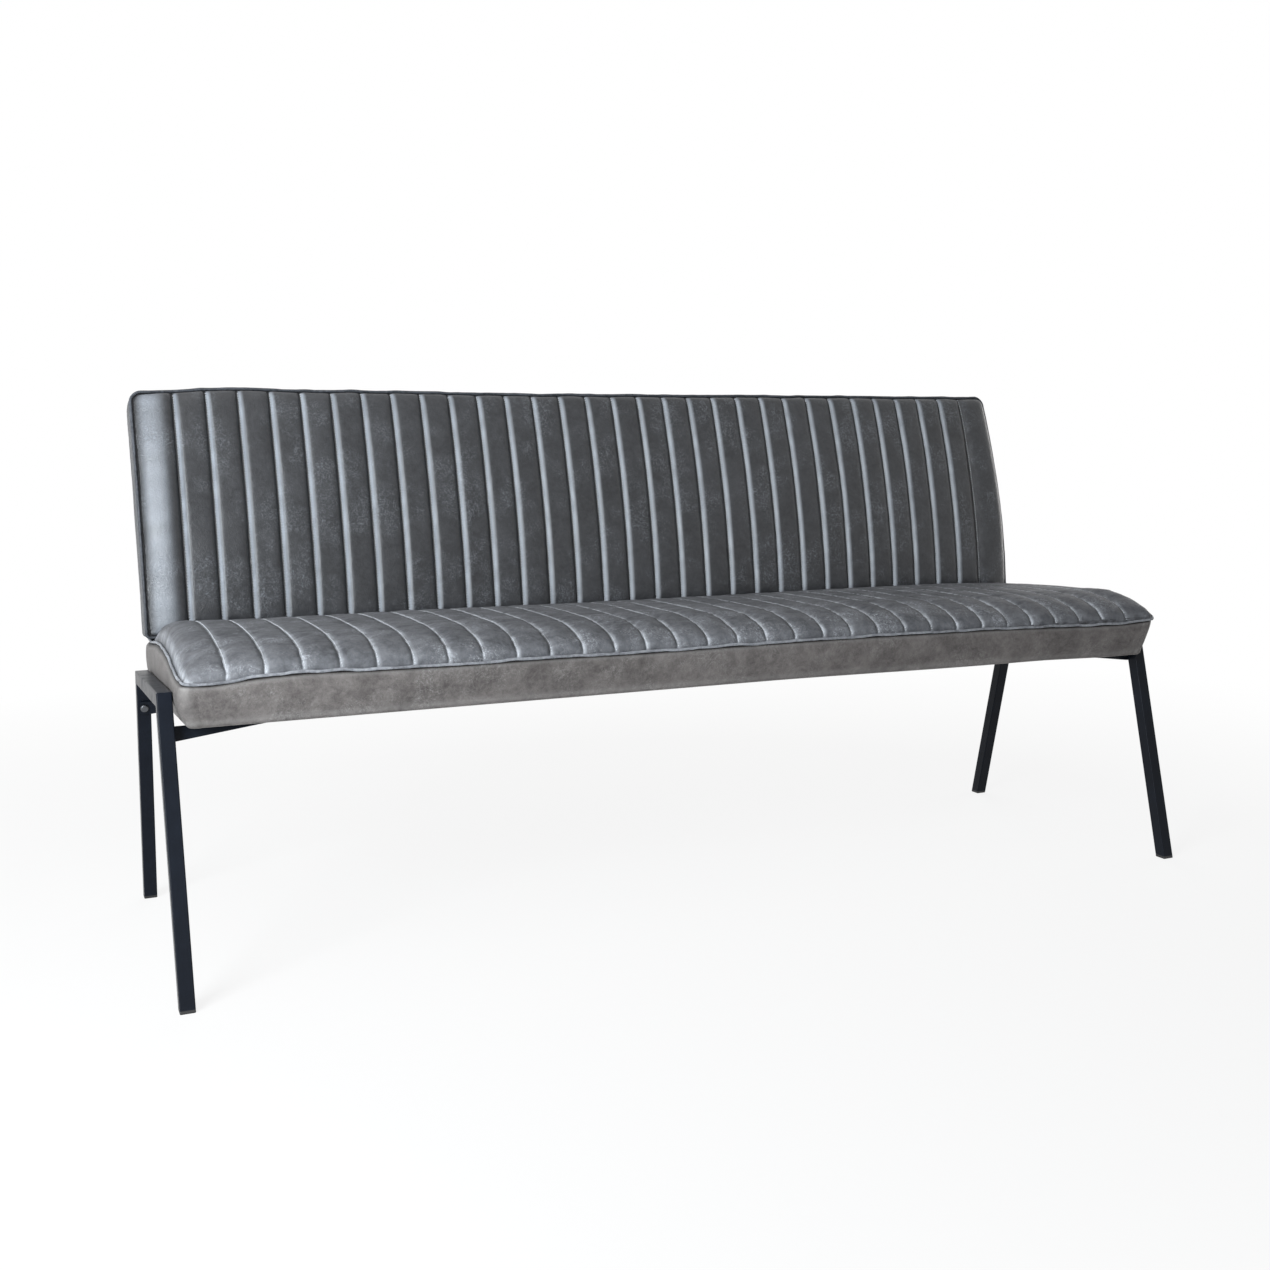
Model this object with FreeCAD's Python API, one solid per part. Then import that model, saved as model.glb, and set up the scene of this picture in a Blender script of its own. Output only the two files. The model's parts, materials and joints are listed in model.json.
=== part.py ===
import FreeCAD, Part
import math
import os

Vector = FreeCAD.Vector

# Upholstered dining bench on two side frames of square steel tube.
# X runs along the bench, -Y is the front and +Z is up. Lengths are in millimetres,
# angles in degrees. The bench is drawn with Y = 0 at the toe of the front feet, and
# the finished pieces are moved together so that the origin is under its middle.

# Side frames
bench_width = 1800.0
tube_side = 22.0
tube_wall = 1.5
tube_corner_radius = 2.0
rail_front_height = 438.0
front_leg_lean_degrees = 14.25
rear_leg_lean_degrees = 13.3
rail_fall_degrees = 3.27
overrun = 4.0

# Foot glides
glide_height = 5.0
glide_plug_length = 20.0
glide_round = 1.5
fit_clearance = 0.1

# Leg plates, bolted to the legs and screwed up into the seat
plate_thickness = 4.0
plate_drop = 22.5
plate_lap = 18.0
plate_tip_margin = 17.0
flange_width = 28.0
flange_screw_share = 0.6
frame_bolt_diameter = 8.0
frame_bolt_head_diameter = 13.0
frame_bolt_head_height = 4.0
frame_bolt_length = 14.0
bolt_clearance = 0.4
wood_screw_diameter = 4.5
wood_screw_head_diameter = 9.0
wood_screw_head_height = 2.2
wood_screw_length = 28.0
head_round_share = 0.6

# Seat cushion
seat_side_gap = 8.0
seat_depth = 512.0
seat_front_overhang = 63.2
seat_rear_overhang = 65.4
seat_corner_radius = 28.0
seat_bottom_drop = 51.0
seat_side_height = 70.3
seat_bottom_setback_front = 15.8
seat_bottom_setback_rear = 4.0
seat_bottom_setback_side = 8.0
seat_bulge = 3.0
seat_crown = 39.5
seat_front_roll = 160.0
seat_front_power = 2.4
seat_rear_power = 3.5
seat_edge_height = 5.0
seat_shelf_gap = 3.0
seat_shelf_height = 1.5
seat_channel_crest = 3.5
seat_panel_thickness = 8.0
seat_end_fall_share = 0.10
seat_end_fall_power = 8
seat_front_steps = 7
seat_rear_steps = 6
seat_corner_steps = 4

# Sewn channels, the same on the seat and on the back
seam_count = 31
end_channel_extra = 6.0
end_bulge_share = 0.25

# Cover leather and piping
leather_thickness = 3.0
piping_radius = 2.5
cover_clearance = 0.3
dust_cover_thickness = 1.2
hem_width = 15.0

# Seat frame of timber under a plywood deck
seat_rail_height = 40.0
seat_rail_thickness = 28.0
seat_end_rail_width = 56.0
seat_end_rail_screw_shares = (0.25, 0.75)
seat_bearer_width = 40.0
seat_bearer_end_gap = 24.0
seat_bearer_names = ("far_left", "left", "middle", "right", "far_right")
seat_deck_thickness = 8.0
seat_frame_gap_front = 12.0
seat_frame_gap_rear = 15.0
seat_frame_gap_side = 12.0

# Backrest, whose front and rear faces are arcs about one centre behind the bench
back_setback = 59.6
back_end_gap = 24.0
back_lean_bottom_degrees = 3.54
back_lean_top_degrees = 21.5
back_length = 420.4
back_depth = 62.0
back_corner_radius = 12.0
back_bulge = 4.0
back_crown = 3.0
back_edge_height = 2.0
back_channel_crest = 6.0
back_roll = 30.0
back_roll_power = 2.4
back_roll_steps = 4
back_middle_steps = 9

# Timber frame and fillings of the backrest, measured back from the front piping
back_board_depth = 17.0
back_board_thickness = 3.6
back_frame_depth = 46.0
back_rail_height = 45.0
back_frame_gap = 14.0
back_upright_width = 40.0
back_upright_names = ("left", "middle", "right")
rear_panel_thickness = 2.5

# Steel brackets that carry the backrest
bracket_spacing_share = 0.365
bracket_names = ("left", "middle", "right")
bracket_width = 50.0
bracket_thickness = 5.0
bracket_rise = 100.0
bracket_foot_gap = 4.0
bracket_screw_spacing = 28.0


# Straight lines in the side view, each kept as a (y, z) point and a (y, z) direction

def line(point, lean):
    """Line that rises from a point and leans back by a number of degrees."""
    angle = math.radians(lean)
    return point[0], point[1], math.sin(angle), math.cos(angle)


def shift(a, distance):
    """The line moved square to itself: back if it rises, down if it runs to the rear."""
    y, z, dy, dz = a
    return y + dz * distance, z - dy * distance, dy, dz


def meet(a, b):
    """The point where two lines cross."""
    across = a[2] * b[3] - a[3] * b[2]
    along = ((b[0] - a[0]) * b[3] - (b[1] - a[1]) * b[2]) / across
    return a[0] + a[2] * along, a[1] + a[3] * along


def join(p, q):
    """The line through two points."""
    length = math.dist(p, q)
    return p[0], p[1], (q[0] - p[0]) / length, (q[1] - p[1]) / length


def slope(point, fall):
    """Line that runs from a point to the rear and falls by a number of degrees."""
    angle = math.radians(fall)
    return point[0], point[1], math.cos(angle), -math.sin(angle)


def level(height):
    """A level line at a height."""
    return slope((0, height), 0)


def quad(side_a, side_b, end_a, end_b):
    """Four corners between two side lines and two end lines."""
    return [meet(side_a, end_a), meet(side_a, end_b), meet(side_b, end_b), meet(side_b, end_a)]


def between(low, high, share):
    """The value or point a share of the way from low to high."""
    if isinstance(low, tuple):
        return tuple(a + (b - a) * share for a, b in zip(low, high))
    return low + (high - low) * share


# Simple solids

def prism(outline, x_from, x_to):
    """Solid between two X positions with a polygon of points as its side view."""
    corners = [Vector(x_from, y, z) for y, z in outline]
    wire = Part.makePolygon(corners + corners[:1])
    return Part.Face(wire).extrude(Vector(x_to - x_from, 0, 0))


def arc(start, middle, end):
    """Edge along an arc through three points."""
    return Part.Arc(start, middle, end).toShape()


def straight(start, end):
    """Straight edge between two points."""
    return Part.LineSegment(start, end).toShape()


def rod(radius, length, start, axis):
    """Round bar from a start point along an axis."""
    return Part.makeCylinder(radius, length, start, axis)


def domed_head(diameter, height, seat, axis):
    """Round head that stands up from its seat along an axis, with its outer rim rounded."""
    head = rod(diameter / 2, height, seat, axis)
    rims = [edge for edge in head.Edges if isinstance(edge.Curve, Part.Circle)]
    outer_rim = max(rims, key=lambda edge: (edge.Curve.Center - seat).dot(axis))
    return head.makeFillet(height * head_round_share, [outer_rim])


def wood_screw(seat, axis):
    """Screw with a domed head on its seat and a shank that goes in along the axis."""
    head = domed_head(wood_screw_head_diameter, wood_screw_head_height, seat, axis * -1)
    return head.fuse(rod(wood_screw_diameter / 2, wood_screw_length, seat, axis))


def screw_hole(seat, axis):
    """Room for a wood screw: its shank and its head."""
    radius = (wood_screw_diameter + bolt_clearance) / 2
    head_radius = (wood_screw_head_diameter + bolt_clearance) / 2
    hole = rod(radius, wood_screw_length + bolt_clearance, seat, axis)
    return hole.fuse(rod(head_radius, wood_screw_head_height + bolt_clearance, seat, axis * -1))


def mirrored(shape):
    """The same piece on the left-hand half of the bench."""
    return shape.mirror(Vector(0, 0, 0), Vector(1, 0, 0))


# Side frames

frame_outside = bench_width / 2
frame_inside = frame_outside - tube_side
leg_centre_x = frame_outside - tube_side / 2

front_leg_front = line((0, 0), front_leg_lean_degrees)
front_leg_back = shift(front_leg_front, tube_side)
rail_corner = meet(front_leg_front, level(rail_front_height))
rail_top = slope(rail_corner, rail_fall_degrees)
rail_bottom = shift(rail_top, tube_side)
seat_front_y = rail_corner[0] - seat_front_overhang
seat_rear_y = seat_front_y + seat_depth
back_front_y = seat_rear_y - back_setback
rear_rail_corner = meet(rail_top, line((seat_rear_y - seat_rear_overhang, 0), 0))
rear_leg_back = line(rear_rail_corner, -rear_leg_lean_degrees)
rear_leg_front = shift(rear_leg_back, -tube_side)
front_mitre = join(meet(front_leg_back, rail_bottom), rail_corner)
rear_mitre = join(meet(rear_leg_front, rail_bottom), rear_rail_corner)


def square_bar(side_a, side_b, end_a, end_b):
    """Square bar between two side lines, with the rounded long edges of a drawn tube."""
    bar = prism(quad(side_a, side_b, end_a, end_b), frame_inside, frame_outside)
    along = Vector(0, side_a[2], side_a[3])
    long_edges = []
    for edge in bar.Edges:
        run = edge.lastVertex().Point - edge.firstVertex().Point
        if run.cross(along).Length < fit_clearance:
            long_edges.append(edge)
    return bar.makeFillet(tube_corner_radius, long_edges)


def square_tube(side_a, side_b, end_a, end_b, bore_end_a, bore_end_b):
    """Square tube between two side lines, hollow between its two bore ends."""
    outside = square_bar(side_a, side_b, end_a, end_b)
    bore = quad(shift(side_a, tube_wall), shift(side_b, -tube_wall), bore_end_a, bore_end_b)
    return outside.cut(prism(bore, frame_inside + tube_wall, frame_outside - tube_wall))


def glide(side_a, side_b):
    """Plastic foot: a cap with rounded lower edges and a plug up the tube."""
    cap = square_bar(side_a, side_b, level(0), level(glide_height))
    lower = [edge for edge in cap.Edges if edge.BoundBox.ZMax < glide_height / 2]
    cap = cap.makeFillet(min(glide_round, glide_height / 2), lower)
    inset = tube_wall + fit_clearance
    outline = quad(shift(side_a, inset), shift(side_b, -inset),
                   level(glide_height), level(glide_height + glide_plug_length))
    return cap.fuse(prism(outline, frame_inside + inset, frame_outside - inset))


# Seat base plane, parallel to the side rails

seat_half_width = frame_inside - seat_side_gap
seat_underside = shift(rail_top, seat_bottom_drop)
seat_bottom_front = meet(seat_underside, line((seat_front_y + seat_bottom_setback_front, 0), 0))
seat_bottom_rear = meet(seat_underside, line((seat_rear_y - seat_bottom_setback_rear, 0), 0))
seat_base_length = math.dist(seat_bottom_front, seat_bottom_rear)
seat_piping_height = seat_bottom_front[1] + seat_side_height
seat_bottom_half_width = seat_half_width - seat_bottom_setback_side
seat_cover_height = seat_piping_height - piping_radius - cover_clearance


def base_point(x, along, up):
    """Point measured along and up from the front edge of the tilted seat base."""
    angle = math.radians(rail_fall_degrees)
    return Vector(x, seat_bottom_front[0] + along * math.cos(angle) + up * math.sin(angle),
                  seat_bottom_front[1] - along * math.sin(angle) + up * math.cos(angle))


base_along = base_point(0, 1, 0) - base_point(0, 0, 0)
base_up = base_point(0, 0, 1) - base_point(0, 0, 0)


def base_box(x_from, x_to, along_from, along_to, up_from, up_to):
    """Rectangular piece squared to the seat base."""
    corners = [base_point(x_from, along, up) for along, up in
               ((along_from, up_from), (along_to, up_from), (along_to, up_to), (along_from, up_to))]
    wire = Part.makePolygon(corners + corners[:1])
    return Part.Face(wire).extrude(Vector(x_to - x_from, 0, 0))


# Timber seat frame

frame_front = seat_frame_gap_front
frame_rear = seat_base_length - seat_frame_gap_rear
frame_half_width = seat_bottom_half_width - seat_frame_gap_side
timber_low = dust_cover_thickness
timber_high = timber_low + seat_rail_height
deck_high = timber_high + seat_deck_thickness
end_rail_x = frame_half_width - seat_end_rail_width
outer_bearer_x = end_rail_x - seat_bearer_end_gap - seat_bearer_width / 2


def seat_timber():
    """The seat frame: two long rails, two end rails, bearers between them and the deck."""
    rails = {
        "seat_rail_front": base_box(-frame_half_width, frame_half_width, frame_front,
                                    frame_front + seat_rail_thickness, timber_low, timber_high),
        "seat_rail_rear": base_box(-frame_half_width, frame_half_width, frame_rear - seat_rail_thickness,
                                   frame_rear, timber_low, timber_high),
    }
    inner_front = frame_front + seat_rail_thickness
    inner_rear = frame_rear - seat_rail_thickness
    end_rail = base_box(end_rail_x, frame_half_width, inner_front, inner_rear, timber_low, timber_high)
    rails["seat_end_rail_right"] = end_rail
    rails["seat_end_rail_left"] = mirrored(end_rail)
    for index, name in enumerate(seat_bearer_names):
        middle = between(-outer_bearer_x, outer_bearer_x, index / (len(seat_bearer_names) - 1))
        start = middle - seat_bearer_width / 2
        rails["seat_bearer_" + name] = base_box(start, start + seat_bearer_width,
                                                inner_front, inner_rear, timber_low, timber_high)
    rails["seat_deck"] = base_box(-frame_half_width, frame_half_width, frame_front, frame_rear,
                                  timber_high, deck_high)
    return rails


# Leg plates and their fasteners

plate_tip_x = outer_bearer_x - plate_tip_margin
flange_end_x = frame_half_width
plate_screw_xs = [outer_bearer_x]
for screw_share in seat_end_rail_screw_shares:
    plate_screw_xs.append(end_rail_x + seat_end_rail_width * screw_share)


class LegSide:
    """The face of a leg that looks under the seat, and the directions of its plate."""

    def __init__(self, face, side):
        self.side = side
        self.top = Vector(0, *meet(face, seat_underside))
        self.down = Vector(0, -face[2], -face[3])
        self.out = Vector(0, face[3], -face[2]) * side
        self.along = (self.top - base_point(0, 0, 0)).dot(base_along)

    def point(self, x, down, out):
        """Point at x, a distance down the leg from the seat and a distance off its face."""
        return self.top + Vector(x, 0, 0) + self.down * down + self.out * out

    def plate(self):
        """Tapered plate on the leg, with a flange under the seat."""
        outline = [(frame_inside + plate_lap, 0), (frame_inside + plate_lap, plate_drop),
                   (frame_inside, plate_drop), (plate_tip_x, plate_thickness), (plate_tip_x, 0)]
        corners = [self.point(x, down, 0) for x, down in outline]
        leaf = Part.Face(Part.makePolygon(corners + corners[:1])).extrude(self.out * plate_thickness)
        far = self.along + self.side * flange_width
        flange = base_box(plate_tip_x, flange_end_x, min(self.along, far), max(self.along, far),
                          -plate_thickness, 0)
        plate = leaf.fuse(flange).cut(self.bolt_hole())
        for seat in self.screw_seats():
            plate = plate.cut(screw_hole(seat, base_up))
        return plate.removeSplitter()

    def bolt_seat(self):
        """Where the head of the frame bolt sits on the plate."""
        return self.point(leg_centre_x, plate_drop / 2, plate_thickness)

    def bolt(self):
        """Round-headed frame bolt through the plate into the leg."""
        seat = self.bolt_seat()
        head = domed_head(frame_bolt_head_diameter, frame_bolt_head_height, seat, self.out)
        return head.fuse(rod(frame_bolt_diameter / 2, frame_bolt_length, seat, self.out * -1))

    def bolt_hole(self):
        """Room for the frame bolt in the plate and in the wall of the leg."""
        radius = (frame_bolt_diameter + bolt_clearance) / 2
        return rod(radius, plate_thickness + tube_wall + bolt_clearance, self.bolt_seat(), self.out * -1)

    def screw_seats(self):
        """Where the heads of the seat screws sit under the flange."""
        along = self.along + self.side * flange_width * flange_screw_share
        return [base_point(x, along, -plate_thickness) for x in plate_screw_xs]


front_side = LegSide(front_leg_back, 1)
rear_side = LegSide(rear_leg_front, -1)


def side_frames():
    """Legs, rails, glides and leg plates of both ends of the bench."""
    past_floor = level(glide_height - overrun)
    front_leg = square_tube(front_leg_front, front_leg_back, level(glide_height), front_mitre,
                            past_floor, shift(front_mitre, -overrun))
    rear_leg = square_tube(rear_leg_front, rear_leg_back, level(glide_height), rear_mitre,
                           past_floor, shift(rear_mitre, -overrun))
    rail = square_tube(rail_top, rail_bottom, front_mitre, rear_mitre,
                       shift(front_mitre, overrun), shift(rear_mitre, overrun))
    right = {
        "front_leg": front_leg.cut(front_side.bolt_hole()),
        "rear_leg": rear_leg.cut(rear_side.bolt_hole()),
        "side_rail": rail,
        "foot_glide_front": glide(front_leg_front, front_leg_back),
        "foot_glide_rear": glide(rear_leg_front, rear_leg_back),
        "leg_plate_front": front_side.plate(),
        "leg_plate_rear": rear_side.plate(),
    }
    pieces = {}
    for name, shape in right.items():
        pieces[name + "_right"] = shape
        pieces[name + "_left"] = mirrored(shape)
    return pieces


# Seat cushion

def rounded_outline(half_width, front, rear, radius, margin=0):
    """Rounded rectangle in the sloping plane through a front and a rear point.

    A margin draws it in all round, within the same plane."""
    _, _, slope_y, slope_z = join(front, rear)
    length = math.dist(front, rear) - 2 * margin
    half_width = half_width - margin
    radius = radius - margin

    def place(x, along):
        reach = along + margin
        return Vector(x, front[0] + slope_y * reach, front[1] + slope_z * reach)

    cut = radius * (1 - math.sqrt(0.5))
    edges = []
    corners = ((1, 0), (1, length), (-1, length), (-1, 0))
    stops = []
    for side, along in corners:
        inward = 1 if along == 0 else -1
        stops.append((place(side * half_width, along + inward * radius),
                      place(side * (half_width - cut), along + inward * cut),
                      place(side * (half_width - radius), along)))
    for index, (on_side, middle, on_end) in enumerate(stops):
        start, end = (on_end, on_side) if index % 2 == 0 else (on_side, on_end)
        edges.append(arc(start, middle, end))
        following = stops[(index + 1) % 4]
        edges.append(straight(end, following[0] if index % 2 == 0 else following[2]))
    return Part.Wire(edges)


def seat_block(inset):
    """The boxed body of the seat below its piping, with bulging sides, inset all round."""
    outlines = []
    for share in (0, 0.5, 1):
        bulge = seat_bulge * 4 * share * (1 - share)
        front = between(seat_bottom_front, (seat_front_y, seat_cover_height), share)
        rear = between(seat_bottom_rear, (seat_rear_y, seat_cover_height), share)
        half_width = between(seat_bottom_half_width, seat_half_width, share)
        outlines.append(rounded_outline(half_width, front, rear, seat_corner_radius, inset - bulge))
    return Part.makeLoft(outlines, True, False)


def drawn_in(half_width, radius, distance):
    """Half width of a rounded outline at a distance from its end."""
    if distance >= radius:
        return half_width
    return half_width - radius + math.sqrt(radius ** 2 - (radius - distance) ** 2)


channel_width = 2 * (seat_half_width - end_channel_extra) / (seam_count + 1)
seam_xs = [(index - (seam_count - 1) / 2) * channel_width for index in range(seam_count)]


def cushion_section(place, half_width, edge, height, crest, sewn, base=0):
    """Outline across a cushion: a flat base, upright edges and a crowned top.

    place turns a distance across and a height into a point, height gives the top at a
    distance across, and a sewn top has an arc of the crest's rise over each channel."""
    middle_xs = seam_xs if sewn else (seam_xs[0], seam_xs[-1])
    tops = [(-half_width, edge)] + [(x, height(x)) for x in middle_xs] + [(half_width, edge)]
    edges = [straight(place(half_width, base), place(-half_width, base)),
             straight(place(-half_width, base), place(*tops[0]))]
    for index, (a, b) in enumerate(zip(tops, tops[1:])):
        is_end = index in (0, len(tops) - 2)
        rise = crest + (end_bulge_share * (max(a[1], b[1]) - edge) if is_end else 0)
        if rise == 0:
            edges.append(straight(place(*a), place(*b)))
            continue
        length = math.dist(a, b)
        middle = ((a[0] + b[0]) / 2 - (b[1] - a[1]) / length * rise,
                  (a[1] + b[1]) / 2 + (b[0] - a[0]) / length * rise)
        edges.append(arc(place(*a), place(*middle), place(*b)))
    edges.append(straight(place(*tops[-1]), place(half_width, base)))
    return Part.Wire(edges)


def roll(share, power):
    """Places on a rolled edge, a quarter of a squared-off ellipse, at a share of its turn.

    The first is how far the place is from the crown and the second how high it is, both
    as shares of the roll. A higher power makes the roll squarer."""
    turn = share * math.pi / 2
    across = math.cos(turn) if share < 1 else 0
    return across ** (2 / power), math.sin(turn) ** (2 / power)


def seat_section(y, width, edge, crown, crest, sewn):
    """Section across the seat's top, whose crown falls a little towards both ends."""
    def place(x, z):
        return Vector(x, y, seat_cover_height + z)

    def height(x):
        return crown - seat_end_fall_share * abs(x / width) ** seat_end_fall_power * (crown - edge)

    return cushion_section(place, width, edge, height, crest, sewn)


def seat_cap(inset, drop, crest, sewn):
    """The crowned top of the seat in front of the backrest, inset all round and lowered by drop.

    The leather goes on to the rear piping as a flat shelf, on which the backrest stands."""
    half_width = seat_half_width - piping_radius - cover_clearance - inset
    radius = seat_corner_radius - piping_radius - cover_clearance - inset / 2
    front = seat_front_y + piping_radius + cover_clearance + inset
    peak = seat_front_y + seat_front_roll
    crown_end = back_front_y - seat_shelf_gap - inset
    base = seat_piping_height - seat_cover_height
    edge = base + seat_edge_height - drop / 2
    shelf = base + seat_shelf_height
    stations = []
    for step in range(seat_front_steps + 1):
        across, up = roll(step / seat_front_steps, seat_front_power)
        stations.append((peak - (peak - front) * across, up))
    for step in reversed(range(1, seat_rear_steps)):
        across, up = roll(step / seat_rear_steps, seat_rear_power)
        stations.append((peak + (crown_end - peak) * across, up))
    sections = []
    for y, up in stations:
        width = drawn_in(half_width, radius, max(0, y - front))
        crown = max(edge, base + (seat_crown - drop) * up)
        sections.append(seat_section(y, width, edge, crown, crest, sewn))
    if not sewn:
        sections.append(seat_section(crown_end, half_width, edge, edge, 0, sewn))
        return Part.makeLoft(sections, True, True)
    sections.append(seat_section(crown_end, half_width, shelf, shelf, 0, sewn))
    rear = seat_rear_y - piping_radius - cover_clearance
    for step in range(seat_corner_steps + 1):
        distance = radius * (1 - math.sin(step / seat_corner_steps * math.pi / 2))
        width = drawn_in(half_width, radius, distance)
        sections.append(seat_section(rear - distance, width, shelf, shelf, 0, sewn))
    return Part.makeLoft(sections, True, True)


def seat_piping():
    """Round cord in its cover, laid right round the top edge of the seat."""
    path = rounded_outline(seat_half_width, (seat_front_y, seat_piping_height),
                           (seat_rear_y, seat_piping_height), seat_corner_radius)
    first = path.Edges[1]
    start = first.firstVertex(True).Point
    direction = first.lastVertex(True).Point - start
    ring = Part.Wire(Part.makeCircle(piping_radius, start, direction))
    order = path.Edges[1:] + path.Edges[:1]
    return Part.Wire(order).makePipeShell([ring], True, False)


def seat_foam_core():
    """Firm foam round and over the timber frame, up to the piping."""
    core = seat_block(leather_thickness + cover_clearance)
    wide = bench_width / 2
    far = seat_base_length + overrun
    core = core.cut(base_box(-wide, wide, -far, far, -overrun, dust_cover_thickness))
    room = frame_half_width + cover_clearance
    return core.cut(base_box(-room, room, frame_front - cover_clearance,
                             frame_rear + cover_clearance, -overrun, deck_high))


def base_sheet(margin):
    """Sheet under the seat, drawn in from the bottom outline by a margin."""
    outline = rounded_outline(seat_bottom_half_width, seat_bottom_front, seat_bottom_rear,
                              seat_corner_radius, margin)
    return Part.Face(outline).extrude(base_up * dust_cover_thickness)


def seat_boxing():
    """Leather band round the seat, with the hem that is turned in under it."""
    band = seat_block(0).cut(seat_block(leather_thickness))
    hem = base_sheet(leather_thickness / 2).cut(base_sheet(hem_width))
    return band.fuse(hem.common(seat_block(0))).removeSplitter()


# Backrest

back_half_width = bench_width / 2 - back_end_gap
back_radius = back_length / math.radians(back_lean_top_degrees - back_lean_bottom_degrees)


def lean_at(rise):
    """Lean of the backrest, in radians, at a distance up its front face."""
    return math.radians(back_lean_bottom_degrees) + rise / back_radius


def back_bottom_height():
    """Height at which the lower edge of the backrest just clears the shelf of the seat."""
    needed = []
    for step in range(back_middle_steps + 1):
        share = step / back_middle_steps
        hang = max(piping_radius if share in (0, 1) else 0, back_bulge * 4 * share * (1 - share))
        needed.append(hang + back_depth * share * math.sin(lean_at(0)))
    shelf_top = seat_piping_height + max(piping_radius, seat_shelf_height)
    return shelf_top + max(needed) + cover_clearance


back_bottom_z = back_bottom_height()
back_centre = Vector(0, back_front_y + back_radius * math.cos(lean_at(0)),
                     back_bottom_z - back_radius * math.sin(lean_at(0)))


def back_point(x, rise, depth):
    """Point up the curved front of the backrest and back into its thickness."""
    lean = lean_at(rise)
    reach = back_radius - depth
    return back_centre + Vector(x, -reach * math.cos(lean), reach * math.sin(lean))


def back_slab(half_width, rise_from, rise_to, depth_from, depth_to, middle=0, corner=0):
    """Curved slab that follows the backrest, its four outline corners rounded if asked."""
    start = middle - half_width
    rise_middle = (rise_from + rise_to) / 2
    corners = [back_point(start, rise_from, depth_from), back_point(start, rise_to, depth_from),
               back_point(start, rise_to, depth_to), back_point(start, rise_from, depth_to)]
    edges = [arc(corners[0], back_point(start, rise_middle, depth_from), corners[1]),
             straight(corners[1], corners[2]),
             arc(corners[2], back_point(start, rise_middle, depth_to), corners[3]),
             straight(corners[3], corners[0])]
    slab = Part.Face(Part.Wire(edges)).extrude(Vector(2 * half_width, 0, 0))
    if corner:
        across = [edge for edge in slab.Edges if edge.BoundBox.XLength < fit_clearance
                  and abs(edge.Length - (depth_to - depth_from)) < fit_clearance]
        slab = slab.makeFillet(corner, across)
    return slab


def back_ring(section):
    """A section carried right round the outline of the backrest.

    section takes an origin on the outline, the outward direction and the direction
    into the thickness, and returns a face."""
    radius = back_corner_radius
    x = back_half_width - radius
    sideways = Vector(1, 0, 0)
    turn = math.degrees((back_length - 2 * radius) / back_radius)
    lower = section(back_point(back_half_width, radius, 0), sideways, into_back(radius))
    parts = [lower.revolve(back_centre, Vector(-1, 0, 0), turn)]
    for rise, end in ((radius, -1), (back_length - radius, 1)):
        depth = into_back(rise)
        outward = up_back(rise) * end
        side = section(back_point(back_half_width, rise, 0), sideways, depth)
        parts.append(side.revolve(back_point(x, rise, 0), depth * -end, 90))
        flat = section(back_point(x, rise, 0) + outward * radius, outward, depth)
        parts.append(flat.extrude(Vector(-x, 0, 0)))
    right = parts[0].fuse(parts[1:])
    return right.fuse(mirrored(right)).removeSplitter()


def into_back(rise):
    """Direction into the thickness of the backrest."""
    return Vector(0, math.cos(lean_at(rise)), -math.sin(lean_at(rise)))


def up_back(rise):
    """Direction up the front face of the backrest."""
    return Vector(0, math.sin(lean_at(rise)), math.cos(lean_at(rise)))


def boxing_section(origin, outward, depth):
    """Bulging strip of leather between the front and the rear piping."""
    near = piping_radius + cover_clearance
    far = back_depth - near

    def place(out, back):
        return origin + outward * out + depth * back

    middle = back_depth / 2
    edges = [arc(place(0, near), place(back_bulge, middle), place(0, far)),
             straight(place(0, far), place(-leather_thickness, far)),
             arc(place(-leather_thickness, far), place(back_bulge - leather_thickness, middle),
                 place(-leather_thickness, near)),
             straight(place(-leather_thickness, near), place(0, near))]
    return Part.Face(Part.Wire(edges))


def piping_section(back):
    """Section of a round piping at a distance into the thickness."""
    def section(origin, outward, depth):
        circle = Part.makeCircle(piping_radius, origin + depth * back, outward.cross(depth))
        return Part.Face(Part.Wire(circle))
    return section


def back_quilted_panel():
    """Channelled leather and wadding on the front of the backrest."""
    gap = piping_radius + cover_clearance
    half_width = back_half_width - gap
    radius = back_corner_radius - gap
    low_end = gap
    high_end = back_length - gap
    ends = [roll(step / back_roll_steps, back_roll_power) for step in range(back_roll_steps)]
    low_roll = [(low_end + back_roll * (1 - across), up) for across, up in ends]
    middle = [(between(low_end + back_roll, high_end - back_roll, step / back_middle_steps), 1)
              for step in range(back_middle_steps + 1)]
    high_roll = [(high_end - back_roll * (1 - across), up) for across, up in reversed(ends)]
    sections = []
    for rise, up in low_roll + middle + high_roll:
        width = drawn_in(half_width, radius, min(rise - low_end, high_end - rise))
        crown = back_edge_height + (back_crown - back_edge_height) * up
        crest = back_channel_crest * (1 + up) / 2

        def place(x, out, rise=rise):
            return back_point(x, rise, -out)

        def height(x, crown=crown):
            return crown

        sections.append(cushion_section(place, width, back_edge_height, height, crest, True,
                                        -overrun))
    panel = Part.makeLoft(sections, True, True)
    return panel.cut(back_slab(back_half_width, -overrun, back_length + overrun, 0, back_depth))


# Brackets between the seat and the backrest

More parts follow.
